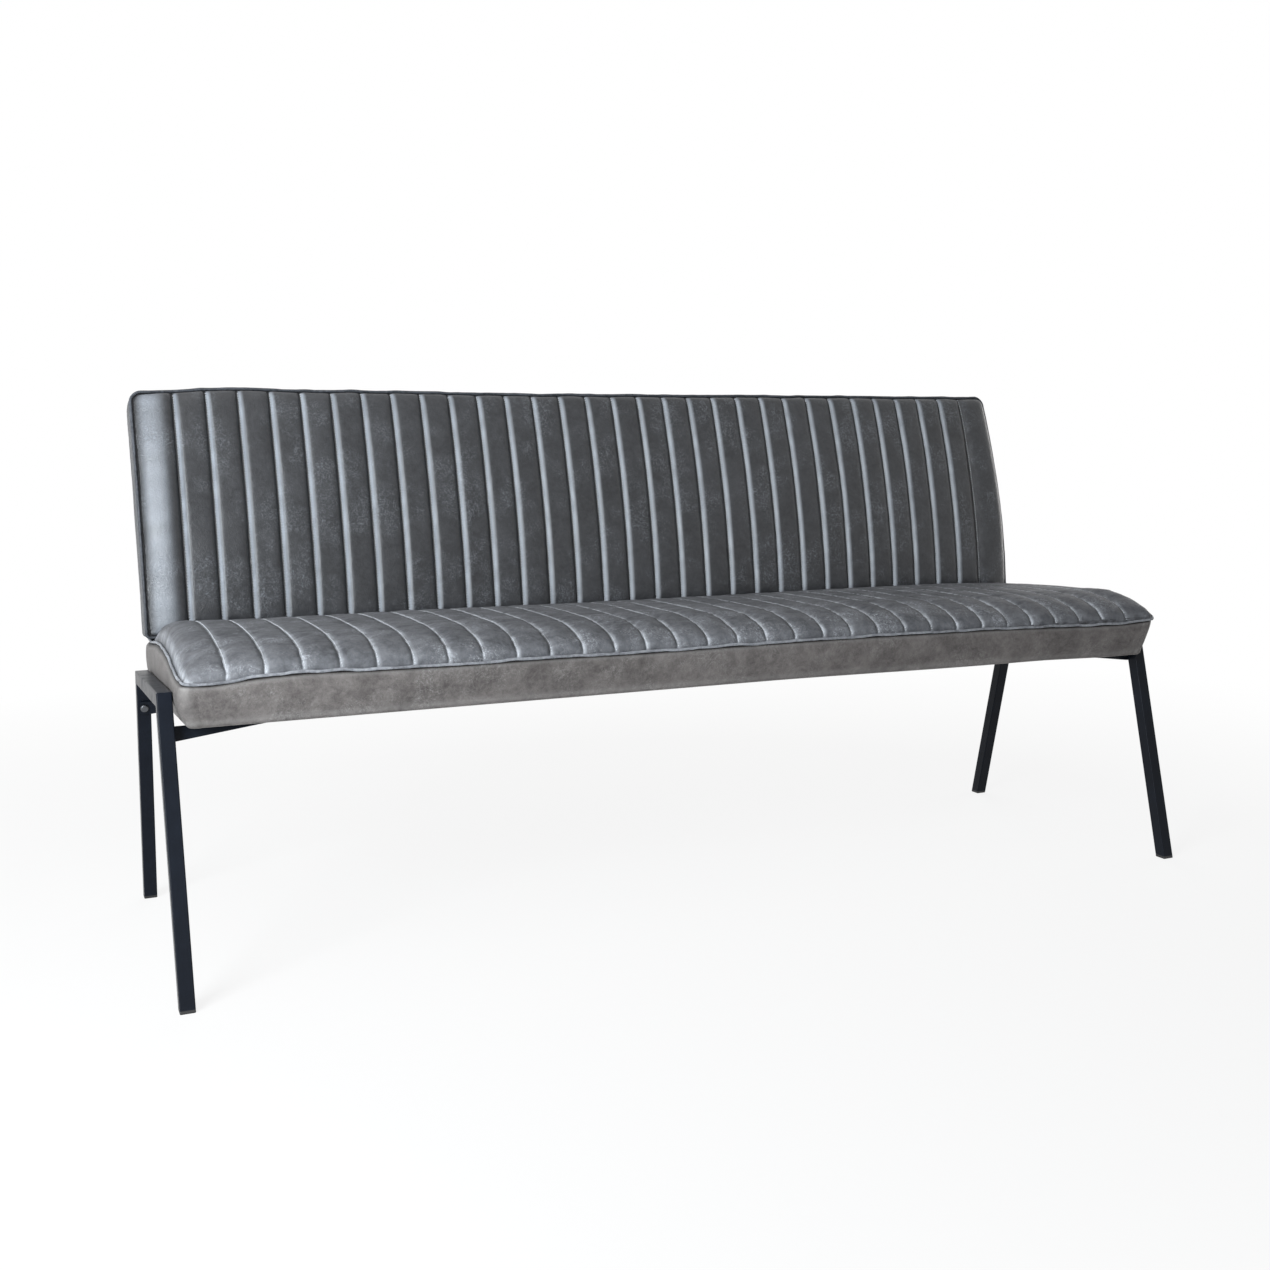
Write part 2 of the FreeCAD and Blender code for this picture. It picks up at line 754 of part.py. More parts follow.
def bracket(middle, extra):
    """Bent flat bar behind the seat rail and the lower back rail, made larger by extra."""
    near = frame_rear - extra
    far = frame_rear + bracket_thickness + extra
    foot = timber_low + bracket_foot_gap - extra
    upper_near = back_frame_depth + cover_clearance - extra
    upper_far = upper_near + bracket_thickness + 2 * extra
    bends = [base_point(0, near, foot), base_point(0, near, deck_high), back_point(0, 0, upper_near),
             back_point(0, 0, upper_far), base_point(0, far, deck_high), base_point(0, far, foot)]
    half_width = bracket_width / 2 + extra
    lower = prism([(bend.y, bend.z) for bend in bends], middle - half_width, middle + half_width)
    upper = back_slab(half_width, 0, bracket_rise + extra, upper_near, upper_far, middle)
    return lower.fuse(upper).removeSplitter()


def bracket_screw_seats(middle):
    """Seats and directions of the screws into the seat rail and the lower back rail."""
    seats = []
    for side in (-1, 1):
        x = middle + side * bracket_screw_spacing / 2
        up = timber_low + seat_rail_height / 2
        seats.append((base_point(x, frame_rear + bracket_thickness, up), base_along * -1))
        rise = back_frame_gap + back_rail_height / 2
        depth = back_frame_depth + cover_clearance + bracket_thickness
        seats.append((back_point(x, rise, depth), into_back(rise) * -1))
    return seats


def back_frame():
    """Timber rails, stiles and uprights of the backrest, and the board in front of them."""
    half_width = back_half_width - back_frame_gap
    low = back_frame_gap
    high = back_length - back_frame_gap
    near = back_board_depth + back_board_thickness + fit_clearance
    far = back_frame_depth
    pieces = {
        "back_rail_bottom": back_slab(half_width, low, low + back_rail_height, near, far),
        "back_rail_top": back_slab(half_width, high - back_rail_height, high, near, far),
        "back_board": back_slab(half_width, low, high, back_board_depth, near - fit_clearance),
    }
    inner_low = low + back_rail_height
    inner_high = high - back_rail_height
    stile_x = half_width - back_upright_width / 2
    places = [("back_stile_left", -stile_x), ("back_stile_right", stile_x)]
    for index, name in enumerate(back_upright_names):
        share = (index + 1) / (len(back_upright_names) + 1)
        places.append(("back_upright_" + name, between(-stile_x, stile_x, share)))
    for name, middle in places:
        pieces[name] = back_slab(back_upright_width / 2, inner_low, inner_high, near, far, middle)
    return pieces


def back_fillings():
    """Foam round the frame, wadding behind it, the rear panel, boxing and piping."""
    gap = leather_thickness + cover_clearance
    half_width = back_half_width - gap
    corner = back_corner_radius - gap
    high = back_length - gap
    foam = back_slab(half_width, gap, high, cover_clearance,
                     back_frame_depth - cover_clearance, corner=corner)
    cavity = back_slab(back_half_width - back_frame_gap + cover_clearance, back_frame_gap - cover_clearance,
                       back_length - back_frame_gap + cover_clearance,
                       back_board_depth - cover_clearance, back_frame_depth + overrun)
    panel_depth = back_depth - rear_panel_thickness
    wadding = back_slab(half_width, gap, high, back_frame_depth + cover_clearance,
                        panel_depth - cover_clearance, corner=corner)
    edge = piping_radius + cover_clearance
    rear_panel = back_slab(back_half_width - edge, edge, back_length - edge, panel_depth, back_depth,
                           corner=back_corner_radius - edge)
    return {
        "back_foam": foam.cut(cavity),
        "back_wadding": wadding,
        "back_rear_panel": rear_panel,
        "back_quilted_panel": back_quilted_panel(),
        "back_boxing": back_ring(boxing_section),
        "back_piping_front": back_ring(piping_section(0)),
        "back_piping_rear": back_ring(piping_section(back_depth)),
    }


def build():
    """All pieces of the bench by name."""
    pieces = side_frames()
    pieces.update(seat_timber())
    pieces.update(back_frame())
    pieces.update(back_fillings())
    pieces["seat_foam_core"] = seat_foam_core()
    pieces["seat_foam_topper"] = seat_cap(seat_panel_thickness + cover_clearance,
                                          seat_panel_thickness + cover_clearance, 0, False)
    topper_room = seat_cap(seat_panel_thickness, seat_panel_thickness, 0, False)
    pieces["seat_quilted_panel"] = seat_cap(0, 0, seat_channel_crest, True).cut(topper_room)
    pieces["seat_boxing"] = seat_boxing()
    pieces["seat_piping"] = seat_piping()
    pieces["seat_dust_cover"] = base_sheet(hem_width + cover_clearance)

    # Screws and bolts, with their holes in what they fasten
    plate_screws = []
    frame_bolts = []
    for side in (front_side, rear_side):
        bolt = side.bolt()
        frame_bolts += [bolt, mirrored(bolt)]
        for seat in side.screw_seats():
            screw = wood_screw(seat, base_up)
            hole = screw_hole(seat, base_up)
            plate_screws += [screw, mirrored(screw)]
            for name in ("seat_dust_cover", "seat_end_rail_right", "seat_bearer_far_right"):
                pieces[name] = pieces[name].cut(hole)
            for name in ("seat_dust_cover", "seat_end_rail_left", "seat_bearer_far_left"):
                pieces[name] = pieces[name].cut(mirrored(hole))
    pieces["plate_screws"] = Part.makeCompound(plate_screws)
    pieces["frame_bolts"] = Part.makeCompound(frame_bolts)

    # Brackets pass up through slots in the cushions
    slotted = ("seat_foam_core", "seat_foam_topper", "seat_quilted_panel", "back_wadding", "back_boxing")
    bracket_screws = []
    bracket_spacing = 2 * back_half_width * bracket_spacing_share
    for index, name in enumerate(bracket_names):
        middle = (index - (len(bracket_names) - 1) / 2) * bracket_spacing
        bar = bracket(middle, 0)
        slot = bracket(middle, cover_clearance)
        for soft in slotted:
            pieces[soft] = pieces[soft].cut(slot)
        for seat, axis in bracket_screw_seats(middle):
            hole = screw_hole(seat, axis)
            bar = bar.cut(hole)
            for held in ("seat_rail_rear", "back_rail_bottom", "seat_foam_core", "back_wadding"):
                pieces[held] = pieces[held].cut(hole)
            bracket_screws.append(wood_screw(seat, axis))
        pieces["back_bracket_" + name] = bar
    pieces["bracket_screws"] = Part.makeCompound(bracket_screws)
    return pieces


def main():
    """Moves the bench so that the origin is under its middle, and writes each piece."""
    pieces = build()
    whole = FreeCAD.BoundBox()
    for shape in pieces.values():
        whole.add(shape.optimalBoundingBox(False, False))
    centre = Vector(-whole.Center.x, -whole.Center.y, 0)
    os.makedirs("parts", exist_ok=True)
    for name, shape in sorted(pieces.items()):
        shape.translate(centre)
        shape.exportStep("parts/" + name + ".step")
        print(name, len(shape.Solids), "solids", round(shape.Volume), "mm3", "valid", shape.isValid())
    print("whole", round(whole.XLength, 1), round(whole.YLength, 1), round(whole.ZLength, 1))


main()
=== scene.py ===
# %% [markdown]
# # An upholstered dining bench
# The bench is a long seat and a leaning back, both covered in distressed grey leather that
# is sewn in upright channels, on two side frames of black square tube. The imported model
# gives every hard piece its size and place. This lesson dresses it: each cushion becomes a
# modelled skin with channels, puckers, stitches and piping, and every surface gets a finish
# made of shader nodes.

import json
import math

import bpy
import numpy as np
from mathutils import Matrix, Vector


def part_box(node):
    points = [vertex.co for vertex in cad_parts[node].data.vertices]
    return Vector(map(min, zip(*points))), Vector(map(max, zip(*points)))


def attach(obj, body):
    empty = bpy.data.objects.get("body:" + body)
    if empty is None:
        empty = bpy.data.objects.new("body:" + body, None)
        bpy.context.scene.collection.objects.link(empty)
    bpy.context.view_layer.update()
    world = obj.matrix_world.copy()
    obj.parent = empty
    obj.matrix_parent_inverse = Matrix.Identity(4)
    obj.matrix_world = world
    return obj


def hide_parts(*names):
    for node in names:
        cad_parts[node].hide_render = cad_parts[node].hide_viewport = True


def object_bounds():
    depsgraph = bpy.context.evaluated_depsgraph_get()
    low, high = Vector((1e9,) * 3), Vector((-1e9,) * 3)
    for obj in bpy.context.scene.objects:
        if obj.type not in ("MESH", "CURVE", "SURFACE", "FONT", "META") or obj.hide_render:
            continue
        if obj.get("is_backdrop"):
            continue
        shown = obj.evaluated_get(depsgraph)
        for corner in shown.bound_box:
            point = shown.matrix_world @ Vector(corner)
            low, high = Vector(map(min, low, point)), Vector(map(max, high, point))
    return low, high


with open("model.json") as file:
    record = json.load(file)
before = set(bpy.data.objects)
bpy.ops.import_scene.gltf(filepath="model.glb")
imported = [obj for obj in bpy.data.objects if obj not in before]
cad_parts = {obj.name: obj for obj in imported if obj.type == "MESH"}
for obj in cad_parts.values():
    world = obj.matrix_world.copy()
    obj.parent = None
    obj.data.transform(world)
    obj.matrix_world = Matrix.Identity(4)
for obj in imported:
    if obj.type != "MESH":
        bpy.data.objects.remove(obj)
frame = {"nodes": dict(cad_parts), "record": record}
cad_low, cad_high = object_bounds()
print("nodes:", len(frame["nodes"]), "overall size:", [round(v, 4) for v in cad_high - cad_low])

# %% [markdown]
# ## The camera
# The photograph is square, and its camera stands to the left of the bench, a little above
# the seat and tipped slightly down. A lens is simplest to carry over as a focal length in
# pixels, because that is what straight edges in a photograph give. The rotation is built
# from the three directions of the view, which avoids guessing an order of Euler angles.

# %% Camera
photo_side_px = 1270
focal_px = 1427.4
sensor_width_mm = 36.0
camera_place = Vector((-1.0716, -2.3232, 0.7800))
camera_turn = math.radians(23.466)
camera_dip = math.radians(7.531)
camera_roll = math.radians(0.511)


def add_object(name, data):
    """A new object in the scene."""
    made = bpy.data.objects.new(name, data)
    bpy.context.scene.collection.objects.link(made)
    return made


def make_camera():
    """The photograph's camera, from its place, turn, dip and roll."""
    ahead = Vector((math.sin(camera_turn) * math.cos(camera_dip),
                    math.cos(camera_turn) * math.cos(camera_dip),
                    -math.sin(camera_dip)))
    right = Vector((math.cos(camera_turn), -math.sin(camera_turn), 0))
    down = ahead.cross(right)
    right, down = (right * math.cos(camera_roll) + down * math.sin(camera_roll),
                   down * math.cos(camera_roll) - right * math.sin(camera_roll))
    lens = bpy.data.cameras.new("camera")
    lens.sensor_width = sensor_width_mm
    lens.lens = focal_px / photo_side_px * sensor_width_mm
    lens.clip_start = 0.05
    lens.clip_end = 60.0
    camera = add_object("camera", lens)
    camera.matrix_world = Matrix((right, -down, -ahead)).transposed().to_4x4()
    camera.location = camera_place
    bpy.context.scene.camera = camera
    return camera


camera = make_camera()
print("lens:", round(camera.data.lens, 2), "mm")

# %% [markdown]
# ## Writing shaders as expressions
# A finish on this bench is mostly sums and products of noise. Drawing those as nodes by
# hand is slow to read, so a small class wraps a socket and turns Python's operators into
# Math nodes. Every other node comes from one method, which takes the node's type, its
# settings and the values or links of its sockets. Colours are written as the three values
# from 0 to 255 that a screen shows.

# %% Wires


class Wire:
    """A number that changes over a surface. Sums and products of wires add Math nodes."""

    def __init__(self, finish, socket):
        self.finish = finish
        self.socket = socket

    def math(self, operation, *values, clamp=False):
        settings = {"operation": operation, "use_clamp": clamp}
        return self.finish.node("ShaderNodeMath", settings, dict(enumerate(values)), "Value")

    def __add__(self, other):
        return self.math("ADD", self, other)

    def __radd__(self, other):
        return self.math("ADD", other, self)

    def __sub__(self, other):
        return self.math("SUBTRACT", self, other)

    def __rsub__(self, other):
        return self.math("SUBTRACT", other, self)

    def __mul__(self, other):
        return self.math("MULTIPLY", self, other)

    def __rmul__(self, other):
        return self.math("MULTIPLY", other, self)

    def clamped(self):
        return self.math("ADD", self, 0, clamp=True)


def find_socket(sockets, key):
    """A socket by its number, its identifier or its name."""
    if isinstance(key, int):
        return sockets[key]
    exact = [socket for socket in sockets if socket.identifier == key]
    return exact[0] if exact else sockets[key]


def colour(red, green, blue):
    """A shader's colour from the three values that a screen shows, by the sRGB curve."""
    levels = [level / 255 for level in (red, green, blue)]
    straight = [v / 12.92 if v <= 0.04045 else ((v + 0.055) / 1.055) ** 2.4 for v in levels]
    return (*straight, 1)


print("a middle grey as a shader's colour:", [round(level, 3) for level in colour(128, 128, 128)])

# %% Node sheets


class NodeSheet:
    """The nodes of one material or world, with the shader that they feed."""

    def __init__(self, owner, shader_name):
        owner.use_nodes = True
        self.tree = owner.node_tree
        self.shader = self.tree.nodes[shader_name]

    def feed(self, socket, value):
        if isinstance(value, Wire):
            value = value.socket
        if isinstance(value, bpy.types.NodeSocket):
            self.tree.links.new(value, socket)
        else:
            socket.default_value = value

    def node(self, kind, settings=None, sockets=None, out=0):
        """Adds a node and returns the wire from one of its outputs."""
        made = self.tree.nodes.new(kind)
        for name, value in (settings or {}).items():
            if name == "stops":
                self.set_stops(made.color_ramp, value)
            else:
                setattr(made, name, value)
        for key, value in (sockets or {}).items():
            self.feed(find_socket(made.inputs, key), value)
        return Wire(self, find_socket(made.outputs, out))

    @staticmethod
    def set_stops(ramp, stops):
        for index, (place, level) in enumerate(stops):
            stop = ramp.elements[index] if index < 2 else ramp.elements.new(place)
            stop.position = place
            stop.color = (level, level, level, 1)

    def set(self, **values):
        """Constants and wires for the shader's own sockets, with _ for a space."""
        for name, value in values.items():
            self.feed(self.shader.inputs[name.replace("_", " ")], value)

    def seen(self):
        """1 for rays from the camera, a mirror or glass, and 0 for rays that carry light."""
        rays = [self.node("ShaderNodeLightPath", out=f"Is {kind} Ray")
                for kind in ("Camera", "Glossy", "Transmission")]
        return (rays[0] + rays[1] + rays[2]).clamped()

    def place(self):
        """Where a point lies on the bench, in metres."""
        return self.node("ShaderNodeTexCoord", out="Object")

    def noise(self, size, detail=3.0, rough=0.55, stretch=(1, 1, 1), twist=0.0):
        """Noise from 0 to 1 with patches about as large as size, in metres."""
        spot = self.node("ShaderNodeMapping", None, {"Vector": self.place(), "Scale": stretch})
        sockets = {"Vector": spot, "Scale": 1 / size, "Detail": detail,
                   "Roughness": rough, "Distortion": twist}
        return self.node("ShaderNodeTexNoise", None, sockets)

    def ramp(self, value, *stops):
        """A number looked up on a ramp of (place, level) stops."""
        return self.node("ShaderNodeValToRGB", {"stops": stops}, {0: value}, "Color")

    def mark(self, name):
        """A number painted on the mesh's points."""
        return self.node("ShaderNodeAttribute", {"attribute_name": name}, None, "Fac")

    def mix(self, share, first, second):
        """A colour between two colours, each a wire or three values that a screen shows."""
        first, second = (tone if isinstance(tone, Wire) else colour(*tone)
                         for tone in (first, second))
        settings = {"data_type": "RGBA", "clamp_factor": True}
        sockets = {"Factor_Float": share, "A_Color": first, "B_Color": second}
        return self.node("ShaderNodeMix", settings, sockets, "Result_Color")

    def bump(self, height, depth):
        """A normal from a height from 0 to 1 that stands for a depth in metres."""
        sockets = {"Height": height, "Distance": depth, "Strength": 1.0}
        return self.node("ShaderNodeBump", None, sockets, "Normal")


class Finish(NodeSheet):
    """One material: a Principled shader and the nodes that feed it."""

    def __init__(self, name):
        self.material = bpy.data.materials.new(name)
        super().__init__(self.material, "Principled BSDF")


print("materials so far:", len(bpy.data.materials))

# %% [markdown]
# ## Distressed leather
# The cover is a matt grey imitation leather with a clouded colour: dark blotches a hand
# wide, paler scuffs, and thin lighter veins where the surface coat has cracked. Where it is
# pulled over a seam it is rubbed pale, and a painted highlight of the window is laid on the
# same pale lines. Down in the creases beside the seams and the piping a painted shade makes
# it almost black. Those two are painted on the points of each skin. One function makes
# every leather on the bench from its dark, middle and pale colours. The seat, the band and
# the back are one hide, and their copies get lighter or darker colours as painted light
# and shade. The cracks come from noise near its middle value, which draws thin lines
# without a texture image.

# %% Leather finishes
# Near-black colour of the painted shade in the creases beside seams and piping.
crease_shade_tone = (9, 9, 11)
# How large the patches of each pattern are, in metres.
cloud_size = 0.11
blotch_size = 0.035
speck_size = 0.0075
fleck_size = 0.0035
crack_size = 0.026
scuff_zone_size = 0.07
crease_size = 0.010
pebbles_per_metre = 720.0
grain_depth = 0.0011


def leather(name, dark, middle, worn_and_highlight, mottle, scuffed, gloss, roughness):
    """Clouded, cracked imitation leather with a fine pebbled grain."""
    finish = Finish(name)
    clouds = finish.ramp(finish.noise(cloud_size, 3.0, 0.55, twist=0.5), (0.34, 0), (0.66, 1))
    blotches = finish.ramp(finish.noise(blotch_size, 5.0, 0.68, twist=0.7),
                           (0.38, 0), (0.62, 1))
    specks = finish.ramp(finish.noise(speck_size, 4.0, 0.72, twist=0.5), (0.36, 0), (0.64, 1))
    flecks = finish.ramp(finish.noise(fleck_size, 3.0, 0.6), (0.5, 0), (0.72, 1))
    crack_field = finish.noise(crack_size, 6.0, 0.62, twist=1.8)
    cracks = finish.ramp(crack_field, (0.486, 0), (0.5, 1), (0.514, 0))
    scuff_zone = finish.ramp(finish.noise(scuff_zone_size, 3.0, 0.6), (0.47, 0), (0.62, 1))
    tone = (clouds * 0.32 + blotches * 0.38 + specks * 0.30 - 0.5) * mottle + 0.5
    worn_off = (cracks * 0.55 + flecks * 0.4) * scuff_zone * scuffed
    # The pale mark is rubbing plus painted highlight; it lightens the hide towards its pale colour.
    scuffs_and_highlights = (worn_off + finish.mark("rub_and_highlight")).clamped()
    hide = finish.mix(scuffs_and_highlights, finish.mix(tone.clamped(), dark, middle), worn_and_highlight)
    # Painted shade: the shaded mark pulls the hide's colour towards near black in creases.
    finish.set(Base_Color=finish.mix(finish.mark("shaded"), hide, crease_shade_tone))
    finish.set(Roughness=(roughness + (clouds - 0.5) * 0.12 + scuffs_and_highlights * 0.05).clamped())
    finish.set(Specular_IOR_Level=gloss, Sheen_Weight=0.04, Sheen_Roughness=0.5)
    pebble_sockets = {"Vector": finish.place(), "Scale": pebbles_per_metre, "Smoothness": 0.4}
    pebbles = finish.node("ShaderNodeTexVoronoi", {"feature": "SMOOTH_F1"}, pebble_sockets,
                          "Distance")
    creases = finish.noise(crease_size, 5.0, 0.62, twist=0.9)
    relief = pebbles * 0.2 + creases * 0.8 - cracks * scuff_zone * 0.15
    finish.set(Normal=finish.bump(relief, grain_depth))
    return finish.material


# Each line: name, dark, middle and worn-and-highlight colour, mottle, scuffed, gloss and
# roughness. The pieces are copies of one hide whose colours differ as painted light and shade.
leather_looks = (
    ("back leather", (35, 36, 39), (62, 63, 66), (162, 168, 177), 1.0, 0.42, 0.44, 0.35),
    ("seat leather", (70, 71, 75), (112, 113, 117), (184, 187, 193), 1.3, 1.1, 0.10, 0.50),
    ("band leather", (82, 78, 77), (124, 119, 117), (160, 158, 156), 1.2, 0.9, 0.12, 0.50),
    ("rear leather", (52, 53, 56), (84, 85, 88), (136, 140, 146), 1.0, 0.6, 0.20, 0.45),
    ("back band leather", (56, 57, 60), (90, 91, 94), (140, 143, 148), 1.0, 0.6, 0.20, 0.42),
)
back_leather, seat_leather, band_leather, rear_leather, back_band_leather = (
    leather(*look) for look in leather_looks)
print("leathers:", [look[0] for look in leather_looks])

# %% [markdown]
# ## Plain finishes
# Most other finishes have one fine grain, which changes their colour and their shine and
# stands up a little. Timber, foam and cloth mix a slower pattern into the colour. One
# function covers them all. The thread is a plain grey polyester, a little shinier than the
# hide. The glides are moulded plastic and the bolts plated steel. The timber, foam and
# cloth inside are hardly ever seen, but each still gets its own grain, because the model
# can be turned over or taken apart.

# %% Plain finishes
fastener_mark_tone = (112, 114, 118)


def grained(name, dark, pale, size, roughness, gain, depth, detail=2.0, rough=0.5,
            stretch=(1, 1, 1), slow=None, **constants):
    """A finish with one fine grain. Slow is a slower pattern's weight and noise settings."""
    finish = Finish(name)
    grain = finish.noise(size, detail, rough, stretch)
    shade = grain
    if slow:
        weight, *pattern = slow
        shade = (finish.noise(*pattern) * weight + grain * (1 - weight)).clamped()
    finish.set(Base_Color=finish.mix(shade, dark, pale), Roughness=grain * gain + roughness)
    finish.set(Normal=finish.bump(grain, depth), **constants)
    return finish.material


def fastener_steel(name, tone):
    """Plated steel with fine turning marks."""
    return grained(name, tone, fastener_mark_tone, 0.0015, 0.36, 0.12, 0.00004,
                   rough=0.6, stretch=(1, 1, 6), Metallic=0.95)


def timber(name, dark, pale, stretch):
    """Softwood or plywood: rings stretched along the grain."""
    return grained(name, dark, pale, 0.002, 0.62, 0.15, 0.0002, stretch=stretch,
                   slow=(0.75, 0.012, 4.0, 0.6, stretch, 0.7))


def fibre(name, dark, pale, size, depth):
    """Foam, wadding or cloth: a fine, even texture."""
    return grained(name, dark, pale, size, 0.85, 0.1, depth, rough=0.6,
                   slow=(0.3, size * 30, 2.0, 0.5))


grey_thread = grained("grey thread", (176, 179, 184), (206, 209, 214),
                      0.0006, 0.45, 0.1, 0.0001, detail=1.0)
print("made:", grey_thread.name)

# %% [markdown]
# ## Piping and coated steel
# The piping is the same hide rolled round a cord, with small creases across the roll. The
# seat's piping gets a pale colour as painted light, and the back's a darker copy as painted
# shade. The side frames have a thin black satin coat, through which the slight unevenness
# of drawn steel shows. Its colour is a little lighter and bluer than black, a painted
# reflection of the bluish window.

# %% Piping and hard finishes


def rolled_leather(name, dark, pale):
    """Leather rolled round a cord, with fine creases. Each caller gives its colours and their
    painted light.
    """
    finish = Finish(name)
    creases = finish.noise(0.006, 3.0, 0.6)
    clouds = finish.noise(0.05, 3.0, 0.6)
    shade = finish.ramp(creases * 0.5 + clouds * 0.5, (0.35, 0), (0.65, 1))
    finish.set(Base_Color=finish.mix(shade, dark, pale))
    finish.set(Roughness=0.42 + creases * 0.12, Specular_IOR_Level=0.25)
    finish.set(Normal=finish.bump(creases, 0.0006))
    return finish.material


def coated_steel():
    """Black satin coat on drawn tube."""
    finish = Finish("black coated steel")
    patches = finish.noise(0.05, 3.0, 0.6)
    smudges = finish.ramp(finish.noise(0.035, 4.0, 0.65, twist=0.8), (0.55, 0), (0.75, 1))
    # Painted reflection: the coat's colour is lifted a little and tinted blue, as the window shows
    # in it.
    finish.set(Base_Color=finish.mix(patches, (12, 15, 21), (23, 28, 37)))
    finish.set(Roughness=0.27 + patches * 0.10 + smudges * 0.14, Specular_IOR_Level=0.10)
    finish.set(Normal=finish.bump(finish.noise(0.0025, 2.0, 0.5), 0.00006))
    return finish.material


# Painted light and shade: a pale copy of the piping colour on the seat, a dark one on the back.
seat_piping_lit_leather = rolled_leather("seat piping lit leather", (104, 106, 111), (160, 163, 169))
back_piping_shaded_leather = rolled_leather("back piping shaded leather", (44, 46, 50), (86, 89, 95))
slot_finishes = {
    "frame_steel": coated_steel(),
    "glide_plastic": grained("moulded plastic", (20, 20, 21), (34, 34, 35),
                             0.0012, 0.5, 0.15, 0.0001),
    "bolt_steel": fastener_steel("plated bolt steel", (62, 64, 68)),
    "screw_steel": fastener_steel("zinc screw steel", (110, 111, 112)),
    "softwood": timber("softwood", (178, 138, 90), (219, 184, 136), (0.06, 1, 1)),
    "plywood": timber("plywood", (186, 150, 104), (224, 194, 150), (0.1, 0.5, 1)),
    "foam": fibre("foam", (196, 186, 150), (232, 224, 196), 0.0015, 0.0006),
    "wadding": fibre("wadding", (205, 205, 200), (240, 240, 236), 0.003, 0.001),
    "dust_cloth": fibre("dust cloth", (14, 14, 15), (34, 34, 36), 0.0008, 0.0002),
    "back_leather": back_leather,
    "seat_leather": seat_leather,
    "boxing_leather": band_leather,
    "rear_leather": rear_leather,
    "piping_leather": seat_piping_lit_leather,
}
for entry in frame["record"]["subparts"]:
    slots = frame["nodes"][entry["node"]].data.materials
    slots.clear()
    slots.append(slot_finishes[entry["material_slot"]])

# %% [markdown]
# ## Skins as grids
# Every soft surface here is a grid of points: rows along a channel and columns across it,
# or rows down a band and columns round it. Grids are easy to work out with arrays, and they
# keep a seam exactly on a row of points, which sculpting or remeshing wouldn't. The points
# are found first as a smooth body, and the channels are then raised along its normals.

# %% Noise
noise_cells = 64


def rise(share):
    """A smooth step from 0 to 1."""
    share = np.clip(share, 0, 1)
    return share * share * (3 - 2 * share)


def bell(distance, width):
    """1 at no distance, falling smoothly to nothing past a width."""
    return np.exp(-(distance / width) ** 2)


def drift_noise(first, second, seed):
    """Smooth seeded noise from -1 to 1. The first two arguments count its cells."""
    lattice = np.random.default_rng(seed).uniform(-1, 1, (noise_cells, noise_cells))
    row, column = np.floor(first).astype(int), np.floor(second).astype(int)
    a, b = rise(first - row), rise(second - column)
    corner = [[lattice[(row + i) % noise_cells, (column + j) % noise_cells] for j in (0, 1)]
              for i in (0, 1)]
    near = corner[0][0] * (1 - b) + corner[0][1] * b
    far = corner[1][0] * (1 - b) + corner[1][1] * b
    return near * (1 - a) + far * a


def strip(share, start, fade_in, end, fade_out):
    """1 between two places, fading in past the first and out past the second."""
    return rise((share - start) / fade_in) * (1 - rise((share - end) / fade_out))


def waver(run, seed, *waves):
    """Seeded unevenness along a line. Each wave has a length and a depth."""
    return sum(depth * drift_noise(run / size, 0, seed + index)
               for index, (size, depth) in enumerate(waves))


print("noise at one place:", round(float(drift_noise(0.5, 0.5, 1)), 4))

# %% Grids and faces


def grid_normals(points):
    """Unit normals of a grid of points, by differences between neighbours."""
    normals = np.cross(np.gradient(points, axis=1), np.gradient(points, axis=0))
    return normals / np.maximum(np.linalg.norm(normals, axis=2, keepdims=True), 1e-12)


def grid_faces(rows, columns):
    """Quads between neighbouring points."""
    return [(r * columns + c, r * columns + c + 1, (r + 1) * columns + c + 1, (r + 1) * columns + c)
            for r in range(rows - 1) for c in range(columns - 1)]


def ring_faces(rows, columns):
    """Quads of a closed strip: rings of points that follow each other right round a section."""
    return [(r * columns + c, ((r + 1) % rows) * columns + c,
             ((r + 1) % rows) * columns + (c + 1) % columns, r * columns + (c + 1) % columns)
            for r in range(rows) for c in range(columns)]


def close_skin(points, lowered):
    """Closes a grid behind: walls down to its lowered border, and strips from side to side.

    Both arrays have the grid's shape. Only the border of the lowered one is used."""
    rows, columns = points.shape[:2]
    last_row, last_column = rows - 1, columns - 1
    border = [(r, c) for r in (0, last_row) for c in range(columns)]
    border += [(r, c) for r in range(1, last_row) for c in (0, last_column)]
    low = {spot: rows * columns + index for index, spot in enumerate(border)}
    circuit = [(0, c) for c in range(last_column, 0, -1)] + [(r, 0) for r in range(last_row)]
    circuit += [(last_row, c) for c in range(last_column)]
    circuit += [(r, last_column) for r in range(last_row, 0, -1)]
    faces = grid_faces(rows, columns)
    for near, far in zip(circuit, circuit[1:] + circuit[:1]):
        up_near, up_far = (r * columns + c for r, c in (near, far))
        faces.append((up_near, up_far, low[far], low[near]))
    for r in range(1, last_row - 1):
        faces.append((low[r, 0], low[r + 1, 0], low[r + 1, last_column], low[r, last_column]))
    faces.append([low[0, 0], low[1, 0], low[1, last_column]]
                 + [low[0, c] for c in range(last_column, 0, -1)])
    faces.append([low[last_row - 1, 0]] + [low[last_row, c] for c in range(columns)]
                 + [low[last_row - 1, last_column]])
    behind = np.array([lowered[spot] for spot in border])
    return np.concatenate([points.reshape(-1, 3), behind]), faces


def lengths_along(line):
    """Length from the first point of a line of points to each point."""
    steps = np.linalg.norm(np.diff(line, axis=0), axis=1)
    return np.concatenate([[0], np.cumsum(steps)])


print("faces of a grid of 3 by 4 points:", len(grid_faces(3, 4)))

# %% Pieces


